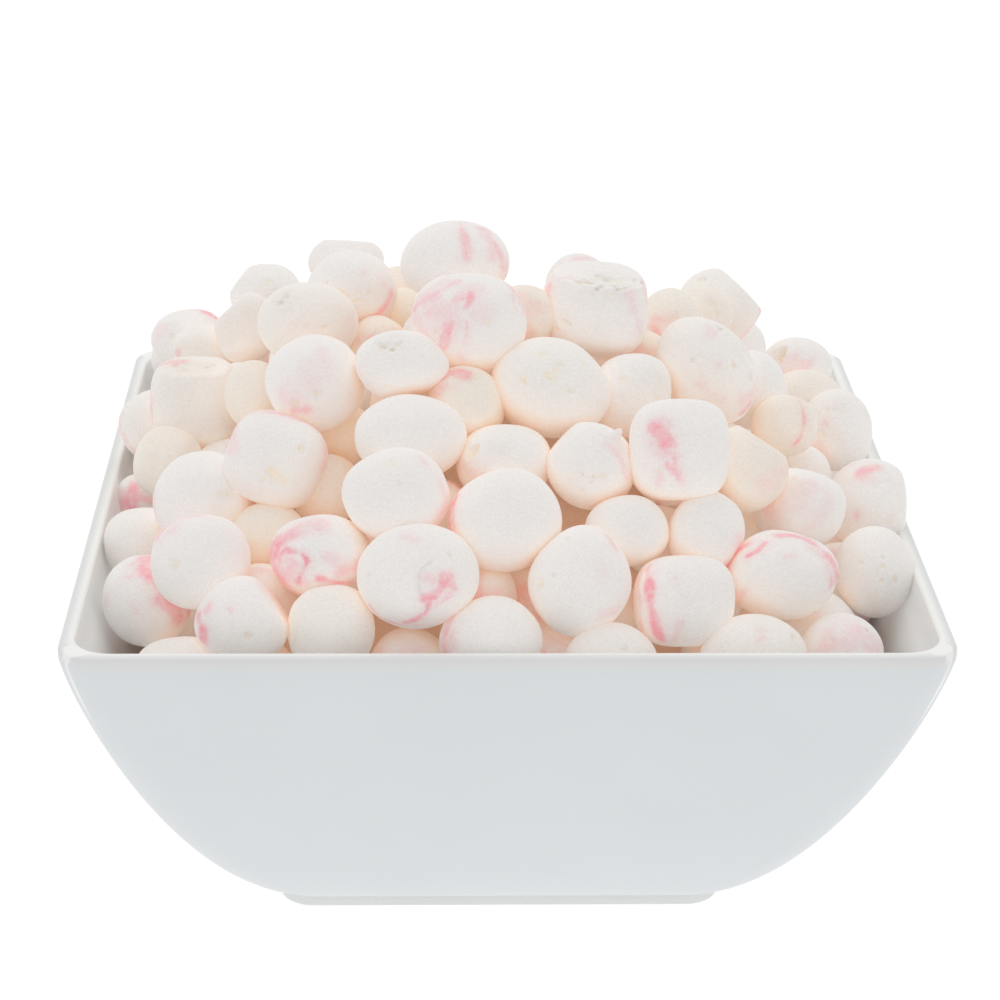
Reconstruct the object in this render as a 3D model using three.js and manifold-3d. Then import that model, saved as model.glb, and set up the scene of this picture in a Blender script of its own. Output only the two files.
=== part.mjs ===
// Square porcelain bowl heaped with freeze-dried taffy. Millimetres, +Z up, front towards -Y,
// the foot standing on the table at z = 0.
import * as THREE from 'three';
import { mergeVertices } from 'three/addons/utils/BufferGeometryUtils.js';
import Module from 'manifold-3d';

// Bowl: real sizes
const bowlSide = 210;           // outside width of the square rim
const bowlHeight = 95;
const rimWidth = 3.6;           // flat top of the lip with its two small roundings
const rimRound = 1;
const lipHeight = 2.8;          // upright band round the mouth
const rimCorner = 8.5;          // outside corner radius at the rim
const mouthCorner = 9.5;        // inside corner radius at the rim
const baseCorner = 18;          // corner radius at the bottom inside
const bodyCorner = 16;          // corner radius outside, where the body meets the foot
const bodyBase = 57.5;          // half width of the body just above the foot
const footHalf = 57.3;
const footCorner = 9;
const footHeight = 4;
const footRingWidth = 6;
const footRecess = 2;
const floorHeight = 8.6;        // inside floor above the table
const floorHalf = 52;
const bulge = 1.19;             // the two shape powers of the swelling side wall
const flare = 1.58;
const cornerSteps = 5;

// Heap: real sizes
const heapGap = 0.4;            // clearance between the heap and the porcelain
const heapPeak = 58;            // height of the middle of the heap over its edge
const heapReach = 96;           // distance from the middle at which the heap meets its edge
const frontEdge = -8;           // level of the heap's edge against the rim, front and back
const backEdge = 7;
const backHollow = 20;          // dip in the middle of the slope behind the crest
const coreDepth = 8.5;          // the core lies this far under the middles of the top sweets
const coreHollow = 16;          // and this much further under the crest and the dip behind it
const smallRadius = 10;
const simplest = 0.3;           // slivers thinner than this are smoothed away
const layoutSeed = 20611;       // draws where the hidden sweets lie
const lumpSeed = 71271;         // draws how each sweet bulges
const secondDepth = 16;         // and the second layer's middles this far under them

// The viewpoint from which the sweets below are laid out
const eye = [-21.4, -680, 378.1];
const eyeTurn = 1.84, eyeDip = 22.93, eyeRoll = 0.743;
const pixelFocus = 2776.7, pixelMiddle = 500;

// Sweets as they show from the front, nearest rows first: place across and down the picture,
// then width and height in millimetres, turn in degrees, and 1 for the second layer
const seen = [
  [243, 622, 23, 22, 0, 0], [331, 630, 21, 21.5, 0, 0], [491, 641, 24.5, 21.5, 0, 0],
  [753, 655, 25.5, 19.5, 0, 0], [842, 652, 20, 19, 0, 0], [611, 660, 22, 18, 0, 0],
  [182, 672, 22.5, 17, 0, 0], [410, 665, 19, 18, 0, 1], [558, 662, 19, 18, 0, 1],
  [201, 562, 24, 23, 0, 0], [684, 601, 24.5, 22, 0, 0], [147, 601, 22, 22.5, 0, 0],
  [418, 576, 29, 25, 10, 0], [580, 581, 24.5, 27, -15, 0], [781, 575, 28, 22, 0, 0],
  [875, 572, 20.5, 23, 0, 0], [322, 557, 25, 20.5, 0, 0], [505, 520, 27.5, 25, 0, 0],
  [146, 546, 21, 19.5, 0, 0], [627, 531, 20.5, 17.5, 0, 0], [706, 532, 19, 20.5, 0, 0],
  [482, 598, 17, 18, 0, 1], [262, 600, 18, 18, 0, 1], [528, 603, 18, 18, 0, 1],
  [205, 503, 26, 26, 0, 0], [276, 460, 24.5, 23, -20, 0], [396, 495, 26, 23, 0, 0],
  [799, 508, 23.5, 20, 0, 0], [591, 466, 22, 21.5, 0, 0], [679, 450, 24.5, 25, 0, 0],
  [870, 504, 23.5, 23.5, 0, 0], [326, 490, 18, 18, 0, 1], [268, 540, 20, 19, 0, 1],
  [746, 468, 21, 22.5, 0, 0], [411, 437, 27.5, 21, 0, 0], [504, 463, 23.5, 19, 0, 0],
  [146, 503, 18, 16, 0, 1], [168, 463, 18, 20, 0, 0], [797, 478, 18, 18, 0, 1],
  [745, 528, 17, 17, 0, 1], [196, 403, 23.5, 25, 0, 0], [315, 383, 25, 24.5, 0, 0],
  [551, 388, 30.5, 25, -15, 0], [706, 371, 24, 30, 30, 0], [784, 426, 17, 16, 0, 0],
  [402, 365, 23.5, 17, 0, 0], [837, 430, 19, 22, 0, 0], [466, 405, 19.5, 19.5, 0, 0],
  [632, 396, 20, 21.5, 0, 0], [752, 390, 18, 21, 0, 0], [150, 424, 17, 18.5, 0, 0],
  [254, 395, 15.5, 18, 0, 0], [343, 437, 17, 17, 0, 1], [308, 324, 26, 21.5, 0, 0],
  [352, 291, 24, 21.5, 0, 0], [469, 325, 29, 26, 0, 0], [595, 308, 27, 25, 0, 0],
  [246, 328, 17, 20, 0, 0], [671, 321, 17, 18, 0, 0], [205, 350, 18, 15, 0, 0],
  [806, 398, 20.5, 15.5, 0, 0], [796, 366, 20, 16, 0, 0], [641, 356, 16, 14, 0, 1],
  [378, 342, 16, 14, 0, 1], [455, 262, 28, 21.5, 0, 0], [700, 316, 18, 17, 0, 0],
  [720, 306, 24, 20, -20, 0], [266, 294, 20, 17, 0, 0], [346, 262, 20.5, 14, 0, 0],
  [190, 342, 22, 19, 0, 0], [525, 316, 17, 16, 0, 0], [578, 282, 17, 15, 0, 0],
  [404, 318, 16, 16, 0, 1], [398, 290, 14, 13, 0, 0],
];

const wasm = await Module();
wasm.setup();

const clamp = (value, low, high) => Math.max(low, Math.min(high, value));
const mix = (a, b, share) => a + (b - a) * share;

// Seeded draws, so the hidden side of the heap always comes out the same
let seed = layoutSeed;
const draw = () => {
  seed = (seed * 16807) % 2147483647;
  return seed / 2147483647;
};

// ---- Bowl -------------------------------------------------------------------------------------

const swell = (share) => (1 - (1 - share) ** bulge) ** (1 / flare);

// Half width of the outside and of the inside of the wall at height z
const lipStart = bowlHeight - lipHeight;
function outerHalf(z) {
  const share = clamp((z - footHeight) / (lipStart - footHeight), 0, 1);
  return bodyBase + (bowlSide / 2 - bodyBase) * swell(share);
}
const mouthHalf = bowlSide / 2 - rimWidth;
function innerHalf(z) {
  const share = clamp((z - floorHeight) / (bowlHeight - rimRound - floorHeight), 0, 1);
  return floorHalf + (mouthHalf - floorHalf) * swell(share);
}
const innerCorner = (z) => mix(baseCorner, mouthCorner, clamp(z / bowlHeight, 0, 1));

function squareRing(half, corner, z) {
  const ring = [];
  for (let side = 0; side < 4; side++) {
    for (let step = 0; step <= cornerSteps; step++) {
      const angle = (side + step / cornerSteps) * Math.PI / 2;
      const [cx, cy] = [[1, 1], [-1, 1], [-1, -1], [1, -1]][side];
      ring.push([cx * (half - corner) + corner * Math.cos(angle),
        cy * (half - corner) + corner * Math.sin(angle), z]);
    }
  }
  return ring;
}

// Closed skin over a run of rings, with a middle point at each end
function skin(rings, first, last) {
  const around = rings[0].length;
  const points = [...rings.flat(), first, last];
  const faces = [];
  for (let r = 0; r + 1 < rings.length; r++) {
    for (let k = 0; k < around; k++) {
      const a = r * around + k, b = r * around + (k + 1) % around;
      faces.push(a, b, b + around, a, b + around, a + around);
    }
  }
  const end = (rings.length - 1) * around;
  for (let k = 0; k < around; k++) {
    const next = (k + 1) % around;
    faces.push(points.length - 2, next, k, points.length - 1, end + k, end + next);
  }
  const geometry = new THREE.BufferGeometry();
  geometry.setAttribute('position', new THREE.Float32BufferAttribute(points.flat(), 3));
  geometry.setIndex(faces);
  return geometry;
}

function bowlGeometry() {
  const half = bowlSide / 2;
  const ringInner = footHalf - footRingWidth;
  const rings = [
    squareRing(ringInner - 2.5, footCorner - 5, footRecess),
    squareRing(ringInner - 0.4, footCorner - 4, 0.5),
    squareRing(ringInner, footCorner - 3.5, 0),
    squareRing(footHalf - 0.9, footCorner - 0.6, 0),
    squareRing(footHalf, footCorner, 0.9),
    squareRing(footHalf, footCorner, footHeight - 0.4),
  ];
  const steps = 15;
  for (let k = 0; k <= steps; k++) {
    const share = (1 - Math.cos(Math.PI * (0.08 + 0.92 * k / steps))) / 2;
    const z = k === 0 ? footHeight : mix(footHeight, lipStart, share);
    rings.push(squareRing(outerHalf(z), mix(bodyCorner, rimCorner, share), z));
  }
  rings.push(
    squareRing(half, rimCorner, bowlHeight - rimRound),
    squareRing(half - 0.3 * rimRound, rimCorner, bowlHeight - 0.3 * rimRound),
    squareRing(half - rimRound, rimCorner, bowlHeight),
    squareRing(mouthHalf + rimRound, mouthCorner, bowlHeight),
    squareRing(mouthHalf + 0.3 * rimRound, mouthCorner, bowlHeight - 0.3 * rimRound),
  );
  for (let k = steps; k >= 0; k--) {
    const share = k === 0 ? 0 : (1 - Math.cos(Math.PI * (0.06 + 0.94 * k / steps))) / 2;
    const z = mix(floorHeight, bowlHeight - rimRound, share);
    rings.push(squareRing(innerHalf(z), innerCorner(z), z));
  }
  return skin(rings, [0, 0, footRecess], [0, 0, floorHeight]);
}

// ---- Laying out the sweets ----------------------------------------------------------------------

const radians = Math.PI / 180;
const [cosTurn, sinTurn] = [Math.cos(eyeTurn * radians), Math.sin(eyeTurn * radians)];
const [cosDip, sinDip] = [Math.cos(eyeDip * radians), Math.sin(eyeDip * radians)];
const [cosRoll, sinRoll] = [Math.cos(eyeRoll * radians), Math.sin(eyeRoll * radians)];
const ahead = [sinTurn * cosDip, cosTurn * cosDip, -sinDip];
const level = [cosTurn, -sinTurn, 0];
const upright = [sinTurn * sinDip, cosTurn * sinDip, cosDip];
const along = (a, b, ka, kb) => [0, 1, 2].map((i) => a[i] * ka + b[i] * kb);
const right = along(level, upright, cosRoll, sinRoll);
const up = along(level, upright, -sinRoll, cosRoll);
const dot = (a, b) => a[0] * b[0] + a[1] * b[1] + a[2] * b[2];
const apart = (a, b) => Math.sqrt((a[0] - b[0]) ** 2 + (a[1] - b[1]) ** 2 + (a[2] - b[2]) ** 2);

function rayTo(across, down) {
  const kx = (across - pixelMiddle) / pixelFocus, ky = (pixelMiddle - down) / pixelFocus;
  const ray = [0, 1, 2].map((i) => ahead[i] + kx * right[i] + ky * up[i]);
  const size = Math.sqrt(dot(ray, ray));
  return ray.map((value) => value / size);
}

function pictured(point) {
  const from = [point[0] - eye[0], point[1] - eye[1], point[2] - eye[2]];
  const scale = pixelFocus / dot(from, ahead);
  return { across: pixelMiddle + scale * dot(from, right),
    down: pixelMiddle - scale * dot(from, up), scale, far: dot(from, ahead) };
}

// Where the dip behind the crest lies, 1 at its deepest
const dipShare = (x, y) => Math.max(1 - ((x - 14) / 45) ** 2, 0)
  * clamp(y / 30, 0, 1) * clamp((100 - y) / 40, 0, 1);

// Level of the middles of the top sweets
function heapLevel(x, y) {
  const back = clamp(y / 60, 0, 1);
  const square = mix(3, 5, back);
  const out = (Math.abs(x / heapReach) ** square + Math.abs(y / heapReach) ** square) ** (1 / square);
  const edge = mix(frontEdge, backEdge, clamp((y + 95) / 90, 0, 1));
  return bowlHeight + edge + heapPeak * (1 - Math.min(out, 1.15) ** mix(1.3, 1.5, back))
    - backHollow * dipShare(x, y);
}

// How far out from the middle a sweet of this radius may sit at height z
function sideLimit(z, radius) {
  if (z < bowlHeight) {
    const slope = (innerHalf(z + 1) - innerHalf(z - 1)) / 2;
    return innerHalf(z) - radius * Math.sqrt(1 + slope * slope) * 0.97;
  }
  const reach = Math.sqrt(Math.max(radius * radius - (z - bowlHeight) ** 2, 0));
  return Math.min(mouthHalf + 1 - 0.97 * reach, bowlSide / 2 - radius);
}

function firstDistance(ray, under) {
  let best = Infinity, found = 0;
  for (let far = 560; far < 900; far++) {
    const point = eye.map((value, i) => value + far * ray[i]);
    const height = point[2] - heapLevel(point[0], point[1]) + under * secondDepth;
    if (Math.abs(point[0]) > 104 || Math.abs(point[1]) > 104) continue;
    if (height < best) [best, found] = [height, far];
    if (height <= 0) break;
  }
  return found;
}

// The sweets that show: each slides along its line of sight until it rests against its neighbours
function shownSweets() {
  const sweets = seen.map(([across, down, wide, high, turn, under]) => {
    const ray = rayTo(across, down);
    const far = firstDistance(ray, under);
    return { ray, far, start: far, wide, high, turn, under, radius: (wide + high) / 4 };
  });
  const settle = (sweet) => { sweet.at = eye.map((value, i) => value + sweet.far * sweet.ray[i]); };
  for (let round = 0; round < 200; round++) {
    sweets.forEach(settle);
    const shift = sweets.map(() => 0);
    for (let i = 0; i < sweets.length; i++) {
      for (let j = i + 1; j < sweets.length; j++) {
        const [a, b] = [sweets[i], sweets[j]];
        const need = 0.94 * (a.radius + b.radius);
        const gap = apart(a.at, b.at);
        const behind = b.far - a.far;
        if (gap >= need && (behind >= -2 || gap > need + 8)) continue;
        const beside = Math.max(gap * gap - behind * behind, 0);
        const wanted = Math.sqrt(Math.max(need * need - beside, 0));
        const way = behind < 0 && beside > (0.8 * need) ** 2 ? -1 : 1;
        const push = (wanted - way * behind) / 2;
        if (push > 0) {
          shift[i] -= 0.5 * push * way;
          shift[j] += 0.5 * push * way;
        }
      }
    }
    sweets.forEach((sweet, k) => {
      sweet.far += clamp(shift[k], -3, 3);
      sweet.far += 0.03 * (sweet.start - sweet.far);
      settle(sweet);
      for (const axis of [0, 1]) {
        const over = Math.abs(sweet.at[axis]) - sideLimit(sweet.at[2], sweet.radius);
        const lean = sweet.ray[axis] * Math.sign(sweet.at[axis]);
        if (over > 0 && Math.abs(lean) > 0.3) sweet.far -= clamp(0.5 * over / lean, -4, 4);
      }
    });
  }
  sweets.forEach(settle);
  for (const sweet of sweets) {
    const from = sweet.far;
    for (let k = 1; !resting(sweet, sweets) && k < 60; k++) {
      sweet.far = from + (k % 2 ? 1 : -1) * Math.ceil(k / 2);
      settle(sweet);
    }
  }
  return sweets;
}

// A sweet rests when it leans on a neighbour or on the core
function resting(sweet, sweets) {
  const [x, y, z] = sweet.at;
  if (z - heapLevel(x, y) + coreDepth < 0.75 * sweet.radius) return true;
  return sweets.some((other) => other !== sweet
    && apart(other.at, sweet.at) < 0.9 * (other.radius + sweet.radius));
}

// The top edge of the shown sweets over each column of the picture
function pictureTop(sweets) {
  const top = new Array(1000).fill(1000);
  for (const sweet of sweets) {
    const { across, down, scale } = pictured(sweet.at);
    const [halfWide, halfHigh] = [sweet.wide * scale / 2, sweet.high * scale / 2];
    for (let column = Math.ceil(across - halfWide); column < across + halfWide; column++) {
      const share = (column - across) / halfWide;
      const edge = down - halfHigh * Math.sqrt(Math.max(1 - share * share, 0));
      if (column >= 0 && column < 1000) top[column] = Math.min(top[column], edge);
    }
  }
  return top;
}

// The sweets that the shown ones hide, packed over the sides and the back, and then twice again a
// little lower in the dips between them
function hiddenSweets(shown) {
  const top = pictureTop(shown);
  const fronts = shown.map((sweet) => ({ ...pictured(sweet.at), radius: sweet.radius }));
  // Whether a sweet here would stand out over the top edge, or in front of a shown one
  const sticksOut = (at, radius) => {
    const { across, down, scale, far } = pictured(at);
    const size = radius * scale;
    return [-0.9, -0.6, -0.3, 0, 0.3, 0.6, 0.9].some((share) => {
      const column = clamp(Math.round(across + share * size), 0, 999);
      return down - size * Math.sqrt(1 - share * share) < top[column] + 1;
    }) || fronts.some((other) => other.far > far
      && Math.sqrt((other.across - across) ** 2 + (other.down - down) ** 2)
        < size + other.radius * other.scale - 6);
  };
  const spots = [];
  for (const sink of [0, 5, 11]) {
    for (let y = -94; y <= 94; y += 4) {
      for (let x = -94; x <= 94; x += 4) spots.push([x, y, sink]);
    }
  }
  const packed = [...shown];
  for (const [x, y, sink] of spots) {
    const radius = mix(9.5, 12.5, draw());
    const at = [x + mix(-2, 2, draw()), y + mix(-2, 2, draw()), 0];
    at[2] = heapLevel(at[0], at[1]) - sink + mix(-2, 1, draw());
    for (let drop = 0; drop < 5 && sticksOut(at, radius); drop++) at[2] -= 3;
    const limit = sideLimit(at[2], radius);
    if (Math.abs(at[0]) > limit || Math.abs(at[1]) > limit || sticksOut(at, radius)) continue;
    if (packed.some((other) => apart(other.at, at) < 0.9 * (other.radius + radius))) continue;
    packed.push({ at, radius, wide: 2 * radius, high: mix(1.7, 2, draw()) * radius,
      turn: 360 * draw(), under: 1 });
  }
  return packed.slice(shown.length);
}

// ---- Heap ---------------------------------------------------------------------------------------

function solid(geometry) {
  geometry.deleteAttribute('normal');
  geometry.deleteAttribute('uv');
  const merged = geometry.index ? geometry : mergeVertices(geometry, 1e-4);
  return new wasm.Manifold(new wasm.Mesh({ numProp: 3,
    vertProperties: Float32Array.from(merged.attributes.position.array),
    triVerts: Uint32Array.from(merged.index.array) }));
}

// One sweet: a few-sided puffed lump, wide and high as it faces the viewpoint, with fewer sides
// where it is small or lies underneath or behind
function sweetSolid(sweet) {
  const plain = sweet.under || sweet.radius < smallRadius;
  const [round, swelling] = plain ? [new THREE.OctahedronGeometry(1, 1), 1.09]
    : [new THREE.IcosahedronGeometry(1, 1), 1.03];
  const ball = mergeVertices(round.deleteAttribute('normal').deleteAttribute('uv'), 1e-4);
  const turn = sweet.turn * radians;
  const side = along(right, up, Math.cos(turn), Math.sin(turn));
  const rise = along(right, up, -Math.sin(turn), Math.cos(turn));
  const spots = ball.attributes.position;
  for (let k = 0; k < spots.count; k++) {
    const swellBy = swelling + mix(-0.03, 0.03, draw());
    const reach = [spots.getX(k) * sweet.wide / 2, spots.getY(k) * sweet.high / 2,
      -spots.getZ(k) * sweet.radius].map((value) => value * swellBy);
    spots.setXYZ(k, ...[0, 1, 2].map((i) => sweet.at[i]
      + reach[0] * side[i] + reach[1] * rise[i] + reach[2] * ahead[i]));
  }
  return solid(ball);
}

// Everything inside the porcelain, and the air over the rim, that the heap may fill
function heapRoom() {
  const rings = [];
  const steps = 9;
  for (let k = 0; k <= steps; k++) {
    const z = mix(floorHeight, bowlHeight - rimRound, (k / steps) ** 1.6);
    rings.push(squareRing(innerHalf(z) - heapGap, innerCorner(z), z + heapGap));
  }
  const half = bowlSide / 2 - 0.2;
  rings.push(squareRing(mouthHalf - heapGap, mouthCorner, bowlHeight + heapGap),
    squareRing(half, rimCorner, bowlHeight + heapGap), squareRing(half, rimCorner, 190));
  return solid(skin(rings, [0, 0, floorHeight + heapGap], [0, 0, 190]));
}

// Plain middle of the heap, following its top from underneath, lowest where the gaps between the
// sweets reach deepest
const coreLevel = (x, y) => heapLevel(x, y) - coreDepth
  - coreHollow * Math.max(1 - ((x - 10) / 60) ** 2, 0)
    * clamp(y / 20, 0, 1) * clamp((100 - y) / 40, 0, 1);

function coreSolid() {
  const rings = [];
  for (const z of [floorHeight + heapGap, 14, 24, 38, 54, 68]) {
    rings.push(squareRing(innerHalf(z) - 2, innerCorner(z), z));
  }
  for (const half of [88, 74, 56, 36, 16]) {
    rings.push(squareRing(half, half * 0.45, 0).map(([x, y]) => [x, y, coreLevel(x, y)]));
  }
  return solid(skin(rings, [0, 0, floorHeight + heapGap], [0, 0, coreLevel(0, 0)]));
}

function heapGeometry() {
  const shown = shownSweets();
  const laid = [...shown, ...hiddenSweets(shown)];
  seed = lumpSeed;
  const pieces = laid.map(sweetSolid);
  const whole = pieces.reduce((sum, piece) => sum.add(piece), coreSolid()).intersect(heapRoom());
  const [heap] = whole.simplify(simplest).decompose().sort((a, b) => b.volume() - a.volume());
  const { vertProperties, triVerts } = heap.getMesh();
  const geometry = new THREE.BufferGeometry();
  geometry.setAttribute('position', new THREE.BufferAttribute(Float32Array.from(vertProperties), 3));
  geometry.setIndex([...triVerts]);
  return geometry;
}

// ---- Assembly -----------------------------------------------------------------------------------

function node(name, geometry, colour, roughness) {
  const mesh = new THREE.Mesh(geometry,
    new THREE.MeshStandardMaterial({ name, color: colour, roughness, metalness: 0 }));
  mesh.name = name;
  return mesh;
}

const bowlOfTaffy = new THREE.Group();
bowlOfTaffy.name = 'bowl_of_taffy';
bowlOfTaffy.add(
  node('bowl', bowlGeometry(), 0xf2f3f2, 0.12),
  node('taffy_heap', heapGeometry(), 0xfbf3ec, 0.75),
);

export default bowlOfTaffy;
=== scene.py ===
import bpy
import math
import numpy as np
from mathutils import Matrix, Vector


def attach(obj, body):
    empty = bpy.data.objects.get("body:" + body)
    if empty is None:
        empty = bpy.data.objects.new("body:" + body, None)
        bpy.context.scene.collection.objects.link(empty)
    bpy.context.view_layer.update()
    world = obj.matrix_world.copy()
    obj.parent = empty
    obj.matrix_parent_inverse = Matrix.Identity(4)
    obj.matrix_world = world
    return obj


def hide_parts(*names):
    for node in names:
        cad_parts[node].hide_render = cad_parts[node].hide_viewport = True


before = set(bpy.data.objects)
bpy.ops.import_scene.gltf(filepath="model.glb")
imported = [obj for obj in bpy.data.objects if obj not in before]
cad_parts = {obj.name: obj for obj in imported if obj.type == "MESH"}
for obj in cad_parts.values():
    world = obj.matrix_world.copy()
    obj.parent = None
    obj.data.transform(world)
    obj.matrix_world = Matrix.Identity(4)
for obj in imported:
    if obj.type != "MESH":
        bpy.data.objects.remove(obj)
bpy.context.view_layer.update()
print("frame loaded:", ", ".join(sorted(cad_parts)))

mm = 0.001


def linear(hexColour):
    channels = [int(hexColour[k:k + 2], 16) / 255 for k in (1, 3, 5)]
    return [c / 12.92 if c <= 0.04045 else ((c + 0.055) / 1.055) ** 2.4 for c in channels] + [1.0]


def addNode(tree, kind, settings=None, links=None):
    # settings are values by property, socket name or socket number, links are what feeds each input
    node = tree.nodes.new(kind)
    for name, value in (settings or {}).items():
        if isinstance(name, int) or name in node.inputs:
            node.inputs[name].default_value = value
        else:
            setattr(node, name, value)
    for name, source in (links or {}).items():
        tree.links.new(source, node.inputs[name])
    return node


def newMaterial(name):
    material = bpy.data.materials.new(name)
    material.use_nodes = True
    material.node_tree.nodes.clear()
    return material, material.node_tree


def clamp(value, low, high):
    return max(low, min(high, value))


def mix(a, b, share):
    return a + (b - a) * share


# Camera: where the picture was taken from, in millimetres and degrees. The picture is square, and
# focus and middle are in its pixels.
viewpoint = {
    "eye": (-21.4, -680.0, 378.1),
    "turn": 1.84,
    "dip": 22.93,
    "roll": 0.743,
    "focus": 2776.7,
    "middle": 500.0,
    "picture": 1000,
    "sensor": 36.0,
}


def viewAxes():
    turn, dip, roll = (math.radians(viewpoint[k]) for k in ("turn", "dip", "roll"))
    ahead = np.array([math.sin(turn) * math.cos(dip), math.cos(turn) * math.cos(dip), -math.sin(dip)])
    level = np.array([math.cos(turn), -math.sin(turn), 0.0])
    upright = np.array([math.sin(turn) * math.sin(dip), math.cos(turn) * math.sin(dip), math.cos(dip)])
    right = level * math.cos(roll) + upright * math.sin(roll)
    up = -level * math.sin(roll) + upright * math.cos(roll)
    return right, up, ahead


right, up, ahead = viewAxes()
eye = np.array(viewpoint["eye"])


def makeCamera():
    data = bpy.data.cameras.new("photoCamera")
    data.sensor_width = viewpoint["sensor"]
    data.lens = viewpoint["sensor"] * viewpoint["focus"] / viewpoint["picture"]
    camera = bpy.data.objects.new("photoCamera", data)
    bpy.context.scene.collection.objects.link(camera)
    turned = Matrix([list(right), list(up), list(-ahead)]).transposed().to_4x4()
    camera.matrix_world = Matrix.Translation(Vector(eye * mm)) @ turned
    bpy.context.scene.camera = camera


makeCamera()
print("camera placed")

# Bowl: slip-cast square porcelain, sizes in millimetres
bowlShape = {
    "side": 210.0,
    "height": 95.0,
    "rimWidth": 3.6,
    "rimRound": 1.0,
    "lipHeight": 2.8,
    "rimCorner": 8.5,
    "mouthCorner": 9.5,
    "baseCorner": 18.0,
    "bodyCorner": 16.0,
    "bodyBase": 57.5,
    "footHalf": 57.3,
    "footHeight": 4.0,
    "footRing": 6.0,
    # the foot's profile inside and outside its ring: step out from that edge, corner and height
    "recess": ((-2.5, 4.0, 2.0), (-1.0, 4.5, 1.4), (-0.4, 5.0, 0.5), (0.0, 5.5, 0.0)),
    "footSide": ((-0.9, 8.4, 0.0), (-0.27, 8.8, 0.27), (0.0, 9.0, 0.9), (0.0, 9.0, 3.5)),
    "floorHeight": 8.6,
    "floorHalf": 52.0,
    "flatHalf": 46.0,
    "flatCorner": 15.0,
    "bulge": 1.19,
    "flare": 1.58,
    "outerRings": 36,
    "innerRings": 30,
    "outerStart": 0.05,
    "innerStart": 0.04,
    "cornerSegments": 14,
    "weld": 0.02,
    "sharpAngle": 38.0,
    # painted glow on the inner wall, lifting its shade: depths under the rim and the shares of it there
    "wallGlow": ((0, 5, 9, 15, 20, 24), (0.65, 0.6, 0.95, 0.72, 0.17, 0.0)),
}


def swell(share):
    return (1 - (1 - share) ** bowlShape["bulge"]) ** (1 / bowlShape["flare"])


def outerHalf(z):
    b = bowlShape
    share = clamp((z - b["footHeight"]) / (b["height"] - b["lipHeight"] - b["footHeight"]), 0, 1)
    return b["bodyBase"] + (b["side"] / 2 - b["bodyBase"]) * swell(share)


mouthHalf = bowlShape["side"] / 2 - bowlShape["rimWidth"]


def innerHalf(z):
    b = bowlShape
    share = clamp((z - b["floorHeight"]) / (b["height"] - b["rimRound"] - b["floorHeight"]), 0, 1)
    return b["floorHalf"] + (mouthHalf - b["floorHalf"]) * swell(share)


def innerCorner(z):
    b = bowlShape
    return mix(b["baseCorner"], b["mouthCorner"], clamp(z / b["height"], 0, 1))


def easedShare(k, count, start):
    # rings lie closer together at both ends of the wall
    return (1 - math.cos(math.pi * mix(start, 1, k / count))) / 2


def bowlRings():
    # half width, corner radius and height of every ring, from under the foot up, over and in
    b = bowlShape
    footInner = b["footHalf"] - b["footRing"]
    rings = [(footInner + out, corner, z) for out, corner, z in b["recess"]]
    rings += [(b["footHalf"] + out, corner, z) for out, corner, z in b["footSide"]]
    for k in range(b["outerRings"] + 1):
        share = easedShare(k, b["outerRings"], b["outerStart"])
        z = b["footHeight"] if k == 0 else mix(b["footHeight"], b["height"] - b["lipHeight"], share)
        rings.append((outerHalf(z), mix(b["bodyCorner"], b["rimCorner"], share), z))
    turns = [math.radians(angle) for angle in (0, 30, 60, 90)]
    # over the rim: up round its outer edge, and down round its inner one
    for edge, corner, way in ((b["side"] / 2, b["rimCorner"], -1), (mouthHalf, b["mouthCorner"], 1)):
        for turn in turns[::-way]:
            rings.append((edge + way * b["rimRound"] * (1 - math.cos(turn)), corner,
                          b["height"] - b["rimRound"] * (1 - math.sin(turn))))
    for k in range(b["innerRings"] - 1, -1, -1):
        share = 0 if k == 0 else easedShare(k, b["innerRings"], b["innerStart"])
        z = mix(b["floorHeight"], b["height"] - b["rimRound"], share)
        rings.append((innerHalf(z), innerCorner(z), z))
    rings.append((b["flatHalf"], b["flatCorner"], b["floorHeight"]))
    return rings


cornerSigns = ((1, 1), (-1, 1), (-1, -1), (1, -1))


def selectNone():
    bpy.ops.object.select_all(action="DESELECT")
    bpy.context.view_layer.objects.active = None


def pickVertices(mesh, picked):
    # called in edit mode, leaves just these vertices selected
    bpy.ops.mesh.select_all(action="DESELECT")
    bpy.ops.object.mode_set(mode="OBJECT")
    for k in picked:
        mesh.vertices[k].select = True
    bpy.ops.object.mode_set(mode="EDIT")


def nextRing(ring, newRing):
    # the open ring is extruded, and each rounded corner is scaled about its own middle and moved out
    half, corner, z = ring
    newHalf, newCorner, newZ = newRing
    mesh = bpy.context.object.data
    bpy.ops.mesh.extrude_region_move(TRANSFORM_OT_translate={"value": (0, 0, (newZ - z) * mm)})
    bpy.ops.object.mode_set(mode="OBJECT")
    ringVertices = [v.index for v in mesh.vertices if v.select]
    corners = [[k for k in ringVertices if mesh.vertices[k].co.x * signX > 0
                and mesh.vertices[k].co.y * signY > 0] for signX, signY in cornerSigns]
    bpy.ops.object.mode_set(mode="EDIT")
    shift = ((newHalf - newCorner) - (half - corner)) * mm
    for (signX, signY), picked in zip(cornerSigns, corners):
        pickVertices(mesh, picked)
        middle = (signX * (half - corner) * mm, signY * (half - corner) * mm, 0)
        bpy.ops.transform.resize(value=(newCorner / corner, newCorner / corner, 1), center_override=middle)
        bpy.ops.transform.translate(value=(signX * shift, signY * shift, 0))
    pickVertices(mesh, ringVertices)


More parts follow.
